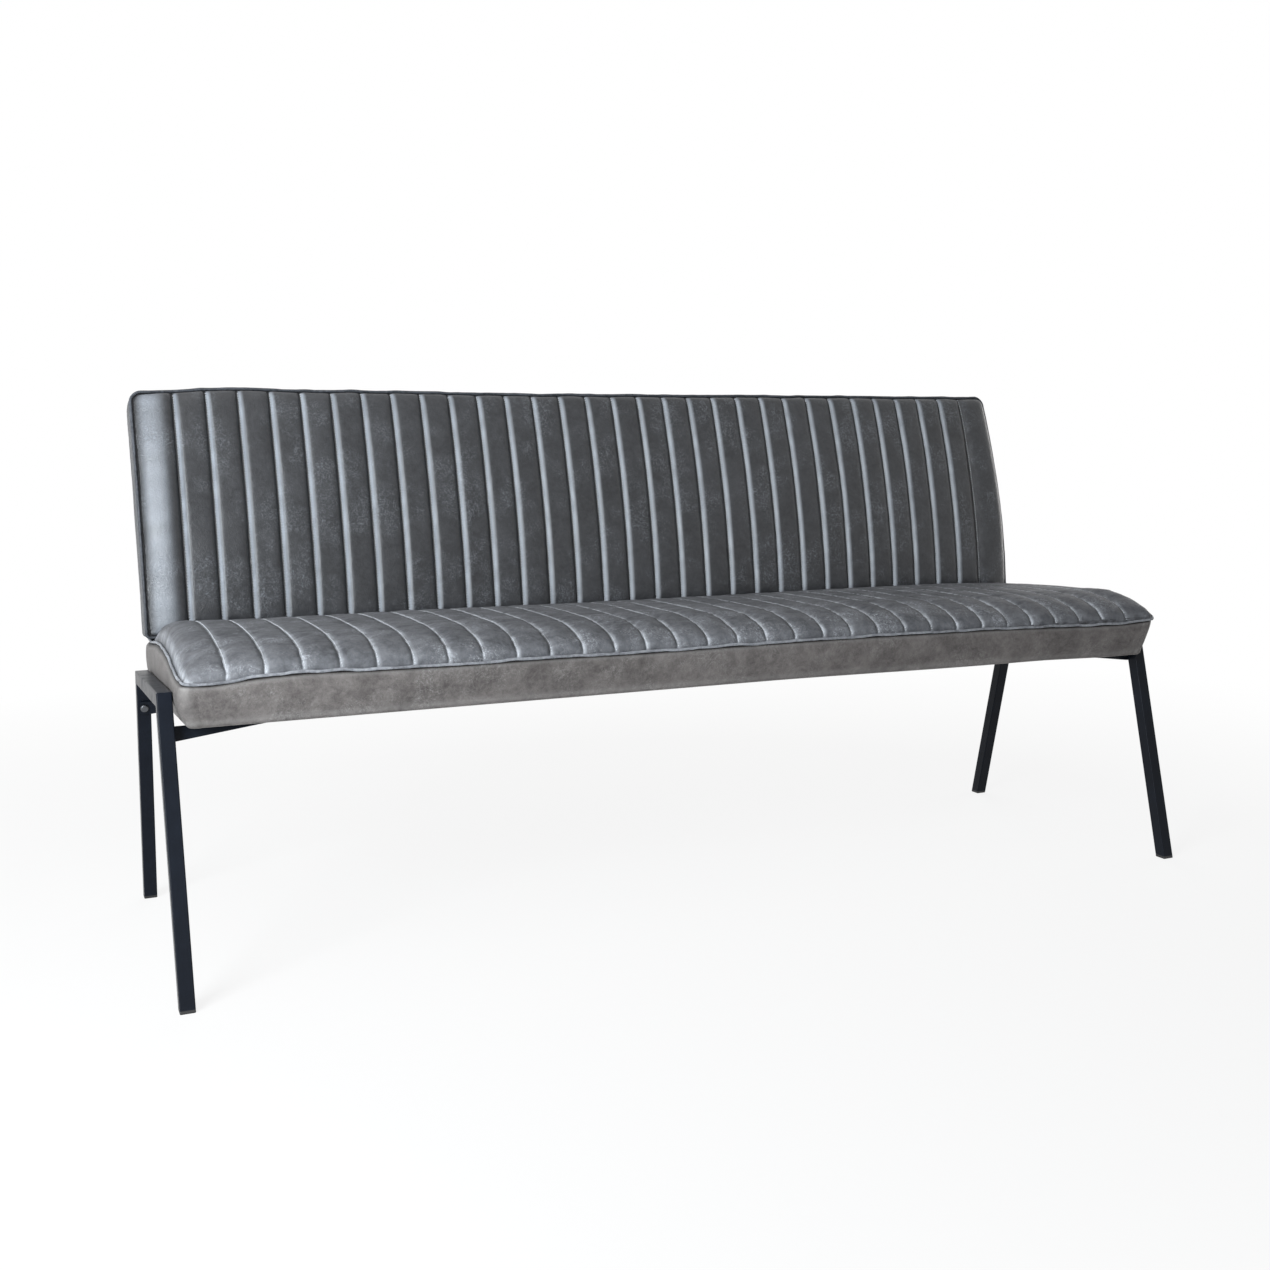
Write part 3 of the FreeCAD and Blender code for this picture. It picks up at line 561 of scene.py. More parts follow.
def add_mesh(name, points, faces):
    """A new mesh object from points and faces."""
    mesh = bpy.data.meshes.new(name)
    mesh.from_pydata(np.reshape(points, (-1, 3)).tolist(), [], faces)
    return add_object(name, mesh)


def make_piece(name, points, faces, finish, marks=None):
    """A mesh object that rides on the bench's body.

    Marks are numbers painted on its points, in their order. Points past their end get 0."""
    piece = add_mesh(name, points, faces)
    mesh = piece.data
    mesh.materials.append(finish)
    for mark, values in (marks or {}).items():
        painted = np.zeros(len(mesh.vertices), np.float32)
        painted[:values.size] = values.ravel()
        mesh.attributes.new(mark, "FLOAT", "POINT").data.foreach_set("value", painted)
    mesh.polygons.foreach_set("use_smooth", [True] * len(mesh.polygons))
    mesh.validate()
    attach(piece, "root")
    print(name, "points:", len(mesh.vertices), "faces:", len(mesh.polygons))
    return piece


print("meshes so far:", len(bpy.data.meshes))

# %% [markdown]
# ## Channels
# Seat and back have the same sewn channels: thirty-one seams, with a channel of wadding
# between each pair. To the right of each seam lies a low ledge that the topstitching holds
# down. From there the skin slopes up over a flank, runs nearly flat, and drops steeply to
# the next seam. The slope faces the window, which is why every seam of the photograph has a
# pale line on its right. The columns of the grid crowd together near the seams, where the
# shape turns fastest.

# %% Channel columns
seam_count = 31
seat_low, seat_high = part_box("seat_piping")
piping_radius = (seat_high.z - seat_low.z) / 2
seat_half_width = seat_high.x - piping_radius
end_channel_extra = 0.006
channel_width = 2 * (seat_half_width - end_channel_extra) / (seam_count + 1)
last_seam = (seam_count - 1) / 2 * channel_width
column_shares = (0, 0.03, 0.055, 0.09, 0.14, 0.20, 0.27, 0.37, 0.50, 0.64, 0.77, 0.86, 0.93, 0.97)
ledge_share = 0.045
ledge_height = 0.13


def channel_columns(edge):
    """Column places from one end of a cushion to the other, and what lies at each.

    Returns x, the share across the channel, and the channel's number."""
    seams = [(index - (seam_count - 1) / 2) * channel_width for index in range(seam_count)]
    bounds = [-edge, *seams, edge]
    places = []
    for number, (left, right) in enumerate(zip(bounds, bounds[1:])):
        places += [(left + (right - left) * share, share, number) for share in column_shares]
    places.append((edge, 1.0, seam_count))
    return np.array(places).T


def arch(share, flank, steepness):
    """Height of a channel, from 0 at its seams to 1 in the middle. Flank is where it flattens."""
    past_ledge = np.clip((share - ledge_share) / (flank - ledge_share), 0, 1)
    left = 1 - (1 - past_ledge) ** steepness
    right = (1 - np.clip((share - flank) / (1 - flank), 0, 1) ** 6) ** 0.5
    ledge = rise(share / ledge_share) * ledge_height
    return np.where(share < flank, np.maximum(ledge, left), right)


def beside_seam(share, number):
    """Distance to the nearest seam, and a number for each side of each seam."""
    return np.minimum(share, 1 - share) * channel_width, np.where(share < 0.5, 0, 7) + number * 3


def right_seam_gap(share):
    """Distance to a channel's right-hand seam, which counts only in its right half."""
    return np.where(share > 0.5, 1 - share, 1) * channel_width


print("channel width:", round(channel_width * 1000, 2), "mm, seams:", seam_count)

# %% [markdown]
# ## The seat's shape
# From the side the seat is a low loaf: it rises quickly behind the front piping, is highest
# a third of the way back, and then rolls down to a flat shelf on which the back stands. A
# squared-off ellipse fits that better than a circle. The piping isn't a straight line on
# the real bench. The cover was pulled on by hand, so it wanders up and down by a few
# millimetres along the front, climbs over the fuller middle of the left end, and stands out
# at the right end.

# %% Seat sizes
pipe_height = (seat_high.z + seat_low.z) / 2
seat_front = seat_low.y + piping_radius
seat_rear = seat_high.y - piping_radius
seat_depth = seat_rear - seat_front
seat_corner_radius = 0.012
seat_rear_corner_radius = 0.008
crown_place = seat_front + 0.160
crown_end_gap = 0.003
crown_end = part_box("back_piping_front")[0].y + piping_radius - crown_end_gap
channel_room = 0.0035
crown_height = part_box("seat_quilted_panel")[1].z - pipe_height - channel_room
shelf_height = 0.0012
front_power = 2.4
rear_power = 3.5
profile_steps = 400
skin_gap = piping_radius + 0.0003
crease_depth = 0.0026
right_end_stretch = 0.0095
print("seat:", round(seat_half_width * 2, 4), "x", round(seat_depth, 4),
      "crown", round(crown_height * 1000, 1), "mm")

# %% Piping line
# How far the front piping strays from its level line, from left to right.
front_wander_x = (-0.870, -0.833, -0.780, -0.707, -0.600, -0.486, -0.330, -0.176, 0.020,
                  0.211, 0.360, 0.521, 0.640, 0.746, 0.830, 0.870)
front_wander_z = (-0.0026, -0.0046, 0.0004, 0.0036, 0.0012, -0.0006, -0.0004, -0.0021, -0.0018,
                  -0.0020, -0.0034, -0.0056, -0.0090, -0.0120, -0.0115, -0.0080)
# How far it climbs at the two ends, from the front to the rear.
side_climb_shares = (0.0, 0.06, 0.16, 0.24, 0.34, 0.55, 0.74, 0.84, 0.90, 1.0)
left_climb_z = (0.0, -0.0015, -0.0015, 0.0035, 0.0115, 0.0155, 0.0110, 0.0045, 0.0008, 0.0)
right_climb_z = (0.0, 0.0042, 0.0080, 0.0078, 0.0046, -0.0020, -0.0070, -0.0060, -0.0015, 0.0)


def spline(places, x, y):
    """A smooth curve through a few chosen points, level past its ends."""
    x, y = np.array(x), np.array(y)
    places = np.clip(places, x[0], x[-1])
    slopes = np.gradient(y, x)
    index = np.clip(np.searchsorted(x, places) - 1, 0, len(x) - 2)
    span = x[index + 1] - x[index]
    t = (places - x[index]) / span
    return ((2 * t ** 3 - 3 * t ** 2 + 1) * y[index]
            + (t ** 3 - 2 * t ** 2 + t) * span * slopes[index]
            + (3 * t ** 2 - 2 * t ** 3) * y[index + 1]
            + (t ** 3 - t ** 2) * span * slopes[index + 1])


def front_wander(x):
    """How far the front piping strays from its level line."""
    return spline(x, front_wander_x, front_wander_z)


def seat_share(y):
    """0 at the seat's front piping and 1 at its rear piping."""
    return np.clip((y - seat_front) / seat_depth, 0, 1)


def side_climb(x, y):
    """How far the piping climbs at the ends of the seat."""
    left, right = (spline(seat_share(y), side_climb_shares, climb)
                   for climb in (left_climb_z, right_climb_z))
    return np.where(x < 0, left, right)


def end_stretch(x, y):
    """How far the seat's right-hand end stands out past its level outline, most in front."""
    beyond = np.clip((x - last_seam) / (seat_half_width - last_seam), 0, 1.1)
    return right_end_stretch * beyond * (1 - 0.7 * seat_share(y))


print("the front piping strays by", min(front_wander_z), "to", max(front_wander_z))

# %% Crown profile


def crown_profile(rows, shelf_rows):
    """Rows over the crown and along the shelf: y, height above the piping, and length."""
    turn = np.linspace(0, math.pi / 2, profile_steps)
    front, rear = seat_front + skin_gap, seat_rear - skin_gap
    front_across, front_up = np.cos(turn) ** (2 / front_power), np.sin(turn) ** (2 / front_power)
    rear_across, rear_up = np.cos(turn) ** (2 / rear_power), np.sin(turn) ** (2 / rear_power)
    y = np.concatenate([crown_place - (crown_place - front) * front_across,
                        (crown_place + (crown_end - crown_place) * rear_across)[::-1][1:]])
    front_z = -crease_depth + (crown_height + crease_depth) * front_up
    z = np.concatenate([front_z, np.maximum(shelf_height, crown_height * rear_up[::-1][1:])])
    length = lengths_along(np.stack([y, z], 1))
    even = np.linspace(0, length[-1], rows)
    shelf_y = np.linspace(crown_end, rear, shelf_rows + 1)[1:]
    return (np.concatenate([np.interp(even, length, y), shelf_y]),
            np.concatenate([np.interp(even, length, z), np.full(shelf_rows, shelf_height)]),
            np.concatenate([even, length[-1] + shelf_y - crown_end]))


print("length over the crown:", round(crown_profile(40, 2)[2][-1], 4))

# %% [markdown]
# ## Leather that swells like cloth
# A sewn channel gets its look from two things. The wadding pushes the leather out between
# the seams, and the thread gathers the leather along them, so that there is more leather
# than seam and it puckers. Both can be modelled by hand, but cloth simulation does both at
# once: the seams are held, the leather is cut slightly too large, and pressure swells it.
# The grid stays the same grid, so the seams stay where they are. How far a point may move
# is capped, and the result is taken as plain points, with no simulation left in it.

# %% Cloth simulation
cloth_frames = 12
cloth_pressure = 4.0
cloth_settings = {"quality": 3, "mass": 0.02, "tension_stiffness": 18, "compression_stiffness": 18,
                  "shear_stiffness": 6, "bending_stiffness": 0.02, "air_damping": 2}
held_border = 2


def swell_leather(points, held, oversize, cap):
    """Points of a skin after it has swollen and puckered between the points that are held."""
    rows, columns = points.shape[:2]
    skin = add_mesh("leather_trial", points, grid_faces(rows, columns))
    group = skin.vertex_groups.new(name="held")
    group.add(np.flatnonzero(held.ravel()).tolist(), 1.0, "REPLACE")
    cloth = skin.modifiers.new("cloth", "CLOTH")
    settings = cloth.settings
    for name, value in cloth_settings.items():
        setattr(settings, name, value)
    settings.vertex_group_mass = "held"
    settings.shrink_min = -oversize
    settings.use_pressure = True
    settings.uniform_pressure_force = cloth_pressure
    settings.effector_weights.gravity = 0
    cloth.collision_settings.use_collision = False
    cloth.point_cache.frame_end = cloth_frames
    for step in range(1, cloth_frames + 1):
        bpy.context.scene.frame_set(step)
    shaped = skin.evaluated_get(bpy.context.evaluated_depsgraph_get()).to_mesh()
    moved = np.empty(rows * columns * 3, dtype=np.float32)
    shaped.vertices.foreach_get("co", moved)
    shift = moved.reshape(rows, columns, 3).astype(float) - points
    size = np.linalg.norm(shift, axis=2, keepdims=True)
    bpy.data.objects.remove(skin)
    bpy.context.scene.frame_set(1)
    print("cloth moved by", np.round(np.percentile(size, (50, 90, 99, 100)) * 1000, 2), "mm")
    return points + shift * np.minimum(1, cap / np.maximum(size, 1e-9))


def held_lines(shape, share):
    """Which points of a channelled grid are sewn down: its seams and its border."""
    held = np.zeros(shape, bool)
    held[:, share == 0] = True
    held[:held_border, :] = held[-held_border:, :] = True
    held[:, 0] = held[:, -1] = True
    return held


print("cloth runs for", cloth_frames, "frames, or for none in a quick look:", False)

# %% [markdown]
# ## The seat's channelled top
# The body is the crown swept along the bench and rolled down at both ends. Channels are
# raised along its normals. Beside each seam the skin puckers, because thread gathers it:
# short ripples run away from the seam and die out within a finger's width. They start here
# as slight seeded unevenness, and the cloth simulation makes folds of them. The skin is
# also marked pale along the seams, which is where the pale lines are: partly rubbing, and
# partly a painted highlight of the window, strongest at the front and on the right of each
# seam. A thin painted highlight runs along the front edge, and the creases get painted
# shade. Past the crown the channels flatten, and under the back the skin is a flat shelf.

# %% Seat body
seat_rows = 140
shelf_rows = 6
seat_channel_height = 0.0033
seat_flank = 0.34
seat_steepness = 1.8
seat_seam_bite = 0.0012
left_roll_power = 2.3
right_roll_power = 3.1
left_end_fall = 0.10
right_end_fall = 0.17
end_fall_power = 7
left_end_rise = 0.0045
left_rise_reach = 0.5
wander_reach = 0.09
climb_reach = 0.07
shelf_reach = 0.06
front_reach = 0.09
skin_depth = 0.004
seat_oversize = 0.018
front_cap = 0.0032
crown_cap = 0.0010


def drawn_in(edge, radius, distance):
    """Half width of a rounded outline at a distance from its end."""
    inward = np.clip(radius - distance, 0, radius)
    return edge - radius + np.sqrt(np.maximum(radius ** 2 - inward ** 2, 0))


def draw_in_ends(x_grid, limit):
    """The end channels fitted between the last seams and a limit, and how far out each point is."""
    edge = np.abs(x_grid).max()
    beyond = np.clip((np.abs(x_grid) - last_seam) / (edge - last_seam), 0, 1)
    drawn = np.sign(x_grid) * (last_seam + beyond * (limit - last_seam))
    return np.where(beyond > 0, drawn, x_grid), beyond


def seat_body():
    """Points of the smooth seat body, with the shares and lengths that the channels need."""
    edge = seat_half_width - skin_gap
    x, share, number = channel_columns(edge)
    y, z, length = crown_profile(seat_rows, shelf_rows)
    x_grid, y_grid = np.meshgrid(x, y)
    z_grid = np.repeat(z[:, None], len(x), 1)
    front_limit = drawn_in(edge, seat_corner_radius - skin_gap, y - (seat_front + skin_gap))
    rear_limit = drawn_in(edge, seat_rear_corner_radius - skin_gap, (seat_rear - skin_gap) - y)
    x_grid, beyond = draw_in_ends(x_grid, np.minimum(front_limit, rear_limit)[:, None])
    end_fall = np.where(x_grid < 0, left_end_fall, right_end_fall)
    end_fall = 1 - end_fall * np.abs(x_grid / edge) ** end_fall_power
    power = np.where(x_grid < 0, left_roll_power, right_roll_power)
    rolled = (1 - beyond ** power) ** (1 / power)
    from_front = length[:, None]
    to_shelf = rise((crown_end - y_grid) / shelf_reach)
    over_seat = np.sin(np.clip(from_front / length[-1], 0, 1) * math.pi) ** 0.7
    base = (front_wander(x_grid) * np.exp(-from_front / wander_reach)
            + side_climb(x_grid, y_grid) * np.exp(-(edge - np.abs(x_grid)) / climb_reach)
            + left_end_rise * rise(-x_grid / left_rise_reach) * over_seat * to_shelf)
    height = np.where(z_grid > 0, z_grid * end_fall * rolled, z_grid) - crease_depth * beyond ** 12
    stretched = x_grid + end_stretch(x_grid, y_grid)
    points = np.stack([stretched, y_grid, pipe_height + base + height], 2)
    return points, share, number, length


print("seat grid:", seat_body()[0].shape[:2])

# %% Seat relief sizes
# Heights, and lengths along a channel or away from a seam, in metres. Two are plain shares.
relief_start = 0.016
relief_end = 0.02
sat_flat_share = 0.6
swell_change = 0.25
swell_run = 0.06
pucker_height = 0.0011
pucker_start = 0.0025
pucker_reach = 0.009
soft_height = 0.0008
crinkle_height = 0.0004
crinkle_reach = 0.014
seat_seam_width = 0.0017
# How pale and how shaded the skin is painted, from 0 to 1, and how far that reaches, in
# metres. Pale stands for rubbing and a painted highlight, shaded for painted shade.
pale_right_of_seam = 0.0052
pale_left_of_seam = 0.0018
seam_rub_and_highlight = 0.66
seam_rub_and_highlight_change = 0.30
crinkle_rub = 0.22
crinkle_rub_reach = 0.012
front_edge_highlight = 0.08
front_edge_highlight_place = 0.012
rear_rub_and_highlight_share = 0.35
rub_and_highlight_reach = 0.20
seat_shade = 0.50
seat_end_shade_width = 0.0010
seat_front_shade_width = 0.0022
seat_seam_shade_place = 0.0022
seat_seam_shade_width = 0.0020
most_shade = 0.95
print("puckers:", pucker_height * 1000, "mm high, within", pucker_reach * 1000, "mm of a seam")

# %% Seat relief


def past_front(length):
    """0 on the seat's swollen front and 1 where sitting has flattened it."""
    return rise((length - front_reach) / front_reach)


def seat_relief(points, share, number, length):
    """Height of channels and puckers above the body, and how much rubbing, painted highlight
    and painted shade each point carries.
    """
    x, y = points[..., 0], points[..., 1]
    along = length[:, None] + np.zeros_like(share)
    flattened = 1 - sat_flat_share * past_front(along)
    present = rise(along / relief_start) * rise((crown_end - y) / relief_end) * flattened
    swell = 1 + swell_change * drift_noise(along / swell_run, number, 5)
    raised = arch(share, seat_flank, seat_steepness) * seat_channel_height * swell
    distance, side = beside_seam(share, number)
    gather = drift_noise(along / 0.0070, side, 11) + 0.6 * drift_noise(along / 0.017, side, 12)
    pucker = gather * np.exp(-distance / pucker_reach) * rise(distance / pucker_start)
    pucker = pucker * pucker_height
    soft = drift_noise(x / 0.030, along / 0.045, 17) * soft_height
    crinkle = drift_noise(along / 0.0042, x / 0.014, 29)
    across = drift_noise(along / 0.010, x / 0.060, 23) * crinkle_height
    across += crinkle * crinkle_height * np.exp(-distance / crinkle_reach)
    seam = bell(distance, seat_seam_width) * seat_seam_bite
    relief = (raised + pucker + across + soft - seam) * present
    # Pale seam lines: rubbing and a painted highlight, mostly right of each seam, fading rearwards.
    reach = np.where(share < 0.5, pale_right_of_seam, pale_left_of_seam)
    rub_and_highlight = np.exp(-(distance / reach) ** 3) * (seam_rub_and_highlight + seam_rub_and_highlight_change * gather)
    rub_and_highlight = rub_and_highlight + crinkle_rub * np.maximum(crinkle, 0) * np.exp(-distance / crinkle_rub_reach)
    rub_and_highlight = rub_and_highlight * (rear_rub_and_highlight_share + (1 - rear_rub_and_highlight_share) * np.exp(-along / rub_and_highlight_reach))
    # A thin painted highlight along the front edge, next to the piping.
    front_highlight_line = bell(along - front_edge_highlight_place, front_edge_highlight_place)
    rub_and_highlight = (rub_and_highlight + front_edge_highlight * front_highlight_line) * rise(along / 0.004)
    from_end = seat_half_width - np.abs(x) - skin_gap
    shaded = seat_shade * bell(from_end, seat_end_shade_width)
    shaded = shaded + seat_shade * bell(along, seat_front_shade_width)
    shaded = shaded + seat_shade * bell(right_seam_gap(share) - seat_seam_shade_place,
                                        seat_seam_shade_width)
    return relief, {"rub_and_highlight": np.clip(rub_and_highlight, 0, 1), "shaded": np.clip(shaded, 0, most_shade)}


def add_relief(points, relief):
    """The points moved along the skin's normals, except for its border."""
    inner = np.zeros(relief.shape)
    inner[1:-1, 1:-1] = relief[1:-1, 1:-1]
    return points + grid_normals(points) * inner[..., None]


print("seat channels:", round(seat_channel_height * 1000, 1), "mm high")

# %% Seat top


def make_seat_top():
    body, share, number, length = seat_body()
    relief, marks = seat_relief(body, share, number, length)
    points = add_relief(body, relief)
    held = held_lines(relief.shape, share)
    held[-shelf_rows - 2:, :] = True
    cap = front_cap + (crown_cap - front_cap) * past_front(length)
    points = swell_leather(points, held, seat_oversize, cap[:, None, None])
    lowered = points.copy()
    lowered[..., 2] = pipe_height - skin_depth
    all_points, faces = close_skin(points, lowered)
    piece = make_piece("seat_cushion_top", all_points, faces, seat_leather, marks)
    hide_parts("seat_quilted_panel", "seat_foam_topper")
    return points


seat_points = make_seat_top()

# %% [markdown]
# ## The seat's band
# Below the piping a plain band runs round the seat. It is tucked in where it meets the
# piping, swells a little in the middle, leans in towards the bottom, and turns under with a
# soft edge where it is stapled. A box with rounded edges would be quicker, but it would
# show none of this. So the band is one closed strip of leather round a rounded rectangle,
# with slow waves, and with a fold at each front corner where too much leather meets. On the
# right its front lip sags.

# %% Rounded outlines
band_rows = 24
band_bulge = 0.0036
band_tuck = 0.0042
band_corner_radius = 0.026
band_thickness = 0.003
bottom_round = 0.009
hem_width = 0.015
band_spacing = 0.006
front_lean_in = 0.0158
rear_lean_in = 0.004
end_lean_in = 0.0035
lip_sag = 0.0042
lip_sag_start = 0.05
lip_sag_reach = 0.5
corner_sag = 0.0036
corner_sag_start = 0.62
corner_sag_reach = 0.2
end_swell = 0.0045
corner_steps = 12
cover_low, cover_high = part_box("seat_dust_cover")
cover_thickness = 0.0012
bottom_slope = math.tan(math.radians(3.27))


def round_outline(half_width, front, rear, front_radius, rear_radius, spacing):
    """Points and outward directions round a rounded rectangle, from the middle of the front.

    The number of points doesn't depend on the radii, so that two outlines can be blended."""
    corners = ((half_width - front_radius, front + front_radius, -90, front_radius, half_width),
               (half_width - rear_radius, rear - rear_radius, 0, rear_radius, rear - front),
               (rear_radius - half_width, rear - rear_radius, 90, rear_radius, 2 * half_width),
               (front_radius - half_width, front + front_radius, 180, front_radius, rear - front))
    places, outward = [], []

    def run(start, end, direction, whole):
        steps = round(whole / spacing)
        for step in range(steps):
            places.append([a + (b - a) * (step / steps) for a, b in zip(start, end)])
            outward.append(direction)

    def way(degrees):
        return math.cos(math.radians(degrees)), math.sin(math.radians(degrees))

    previous = (0, front)
    for x, y, turn, radius, whole in corners:
        first, last = way(turn), way(turn + 90)
        run(previous, (x + first[0] * radius, y + first[1] * radius), first, whole)
        for step in range(corner_steps):
            direction = way(turn + 90 * step / corner_steps)
            places.append([x + direction[0] * radius, y + direction[1] * radius])
            outward.append(direction)
        previous = (x + last[0] * radius, y + last[1] * radius)
    run(previous, (0, front), (0, -1), half_width)
    return np.array(places), np.array(outward)


def seat_outline(spacing, front_radius=seat_corner_radius):
    """The outline of the seat at its piping."""
    return round_outline(seat_half_width, seat_front, seat_rear, front_radius,
                         seat_rear_corner_radius, spacing)


def piping_level(x, y):
    """Height of the seat's piping anywhere round its outline."""
    behind_corner = rise((y - seat_front) / 0.03)
    ends = side_climb(x, y) * rise((seat_rear - 0.03 - y) / 0.03)
    return pipe_height + front_wander(x) * (1 - behind_corner) + ends * behind_corner


def bottom_level(y):
    """Height of the seat's underside, which is parallel to the side rails."""
    return cover_high.z - cover_thickness - (y - cover_low.y) * bottom_slope


def band_ring(places, outward, inward, height):
    """A ring of points drawn in from the outline. The height may follow from their y."""
    x, y = (places - outward * inward[:, None]).T
    return np.stack([x, y, height(y) if callable(height) else height], 1)


print("points round the seat:", len(seat_outline(band_spacing)[0]))

# %% Seat band
band_crowding = 1.5
piping_overlap = 0.3
tuck_reach = 0.0035
slow_wave_height = 0.0011
quick_wave_height = 0.0006
corner_fold_height = 0.0022
corner_fold_pitch = 0.0052
bottom_steps = 7
hem_rows = ((hem_width, 0.0), (hem_width, 0.0016), (band_thickness * 2.2, 0.0022))
lining_shares = (0.8, 0.4, 0.0)
upper_rub = 0.20
lower_rub = 0.22
corner_rub = 0.35
band_shade = 0.92
left_end_shade = 0.16


def make_seat_band():
    places, outward = seat_outline(band_spacing)
    rounder, _ = seat_outline(band_spacing, band_corner_radius)
    x, y = places.T
    nx, ny = outward.T
    left_end, right_end = nx ** 2 * (x < 0), nx ** 2 * (x > 0)
    setback = end_lean_in * nx ** 2 + np.where(ny < 0, front_lean_in, rear_lean_in) * ny ** 2
    sag = lip_sag * rise((x - lip_sag_start) / lip_sag_reach)
    sag = sag + corner_sag * rise((x - corner_sag_start) / corner_sag_reach)
    sag = sag * (ny < -0.3)
    top = piping_level(x, y) - piping_radius * piping_overlap
    bottom = bottom_level(y - ny * setback) - sag
    run = lengths_along(places)
    corner = np.clip(np.abs(nx * ny) * 2, 0, 1) * (ny < 0)
    rings = []
    for share in np.linspace(0, 1, band_rows) ** band_crowding:
        drop = (top - bottom - bottom_round) * share
        tuck = band_tuck * np.exp(-drop / tuck_reach)
        waves = slow_wave_height * drift_noise(run / 0.10, share * 1.6, 31)
        waves += quick_wave_height * drift_noise(run / 0.032, share * 2.6, 32)
        fold = corner_fold_height * corner * math.exp(-share / 0.6)
        fold = fold * np.cos(run / corner_fold_pitch + share * 1.2)
        swell = band_bulge * (1 - right_end) * 4 * share * (1 - share)
        swell = swell + (waves + fold) * math.sin(share * math.pi) ** 0.4
        swell = swell + end_swell * left_end * rise(share / 0.12) * (1 - rise((share - 0.5) / 0.5))
        blend = places + (rounder - places) * share
        blend[:, 0] += end_stretch(x, y) * (1 - share)
        rings.append(band_ring(blend, outward, setback * share + tuck - swell, top - drop))
    for turn in np.linspace(0, math.pi / 2, bottom_steps)[1:]:
        inward = setback + bottom_round * (1 - math.cos(turn))
        height = bottom + bottom_round * (1 - math.sin(turn))
        rings.append(band_ring(rounder, outward, inward, height))
    for inward, lift in hem_rows:
        rings.append(band_ring(rounder, outward, setback + inward,
                               lambda y: bottom_level(y) + lift))
    for share in lining_shares:
        inward = setback * share + band_thickness + band_tuck
        height = bottom + 0.012 + (top - bottom - 0.014) * (1 - share)
        rings.append(band_ring(rounder, outward, inward, height))
    points = np.array(rings)
    level = (top - points[..., 2]) / (top - bottom)
    rub_and_highlight = upper_rub * bell(level - 0.08, 0.05) + lower_rub * bell(level - 0.88, 0.07)
    marks = {"rub_and_highlight": rub_and_highlight + corner_rub * corner * np.exp(-level / 0.5),
             "shaded": band_shade * bell(level - 0.030, 0.034) + left_end_shade * left_end}
    piece = make_piece("seat_cushion_band", points, ring_faces(*points.shape[:2]), band_leather,
                       marks)
    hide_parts("seat_boxing", "seat_foam_core")


make_seat_band()

# %% [markdown]
# ## Piping
# Piping is a thin cord rolled into leather and sewn in between top and band. A tube with
# twelve sides is enough at this size. What makes it look sewn is that its thickness and
# height vary a little along its length, and that it stands half proud of the skins.

# %% Piping tubes
piping_sides = 12
piping_spacing = 0.005
seat_piping_share = 0.88
# Each wave has a length and a depth. The roll's depths are shares of its radius.
roll_waves = ((0.011, 0.07), (0.05, 0.06))
seat_piping_waves = ((0.03, 0.0008), (0.012, 0.0005))


def make_roll(name, path, finish, radius, seed):
    """A closed tube along a ring of points, slightly uneven."""
    ahead = np.roll(path, -1, 0) - np.roll(path, 1, 0)
    ahead /= np.linalg.norm(ahead, axis=1, keepdims=True)
    outward = path - path.mean(0)
    outward -= (outward * ahead).sum(1, keepdims=True) * ahead
    outward /= np.linalg.norm(outward, axis=1, keepdims=True)
    up = np.cross(ahead, outward)
    uneven = waver(lengths_along(path), seed, *roll_waves)
    thick = (radius * (1 + uneven))[:, None]
    angles = np.linspace(0, 2 * math.pi, piping_sides, endpoint=False)
    rings = [path + (outward * math.cos(a) + up * math.sin(a)) * thick for a in angles]
    faces = ring_faces(piping_sides, len(path))
    return make_piece(name, np.array(rings), faces, finish)


def make_seat_piping():
    places, _ = seat_outline(piping_spacing)
    x, y = places.T
    wobble = waver(lengths_along(places), 41, *seat_piping_waves)
    path = np.stack([x + end_stretch(x, y), y, piping_level(x, y) + wobble], 1)
    piece = make_roll("seat_piping_roll", path, seat_piping_lit_leather,
                      piping_radius * seat_piping_share, 43)
    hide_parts("seat_piping")


make_seat_piping()

# %% [markdown]
# ## The back's shape
# The back leans a little at the bottom and much more at the top, so both its faces are arcs
# about one centre. Two corners of the front piping and the two leans are enough to find
# that centre. After that every point of the back has three plain numbers: its place along
# the bench, its rise along the arc, and its depth behind the front piping. The padded ends
# stand out a little past the level outline, most at the foot of the right-hand end.

# %% Back arc
front_low, front_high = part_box("back_piping_front")
rear_low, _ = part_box("back_piping_rear")
back_half_width = front_high.x - piping_radius
back_corner_radius = 0.017
back_foot_radius = 0.006
lean_low = math.radians(3.54)
lean_high = math.radians(21.5)
arc_start = np.array([front_low.y + piping_radius, front_low.z + piping_radius])
arc_end = np.array([front_high.y - piping_radius, front_high.z - piping_radius])
arc_radius = np.linalg.norm(arc_end - arc_start) / (2 * math.sin((lean_high - lean_low) / 2))
arc_centre = arc_start + arc_radius * np.array([math.cos(lean_low), -math.sin(lean_low)])
back_length = arc_radius * (lean_high - lean_low)
rear_start = np.array([rear_low.y + piping_radius, rear_low.z + piping_radius])
back_depth = float(np.linalg.norm(rear_start - arc_start))
left_bulge = -0.0015
right_bulge_shares = (0, 0.35, 0.7, 1)
right_bulge = (0.009, 0.008, 0.0035, 0.0015)


def on_back(x, climb, depth):
    """A point of the back from its place along the bench, its rise and its depth."""
    beyond = np.clip((np.abs(x) - last_seam) / (back_half_width - last_seam), 0, 1.1)
    bulge = np.interp(climb / back_length, right_bulge_shares, right_bulge)
    bulge = np.where(x < 0, left_bulge, bulge)
    lean = lean_low + climb / arc_radius
    reach = arc_radius - depth
    return np.stack([x + bulge * beyond, arc_centre[0] - reach * np.cos(lean),
                     arc_centre[1] + reach * np.sin(lean)], -1)


print("back arc radius:", round(arc_radius, 3), "length:", round(back_length, 4),
      "depth:", round(back_depth, 4))

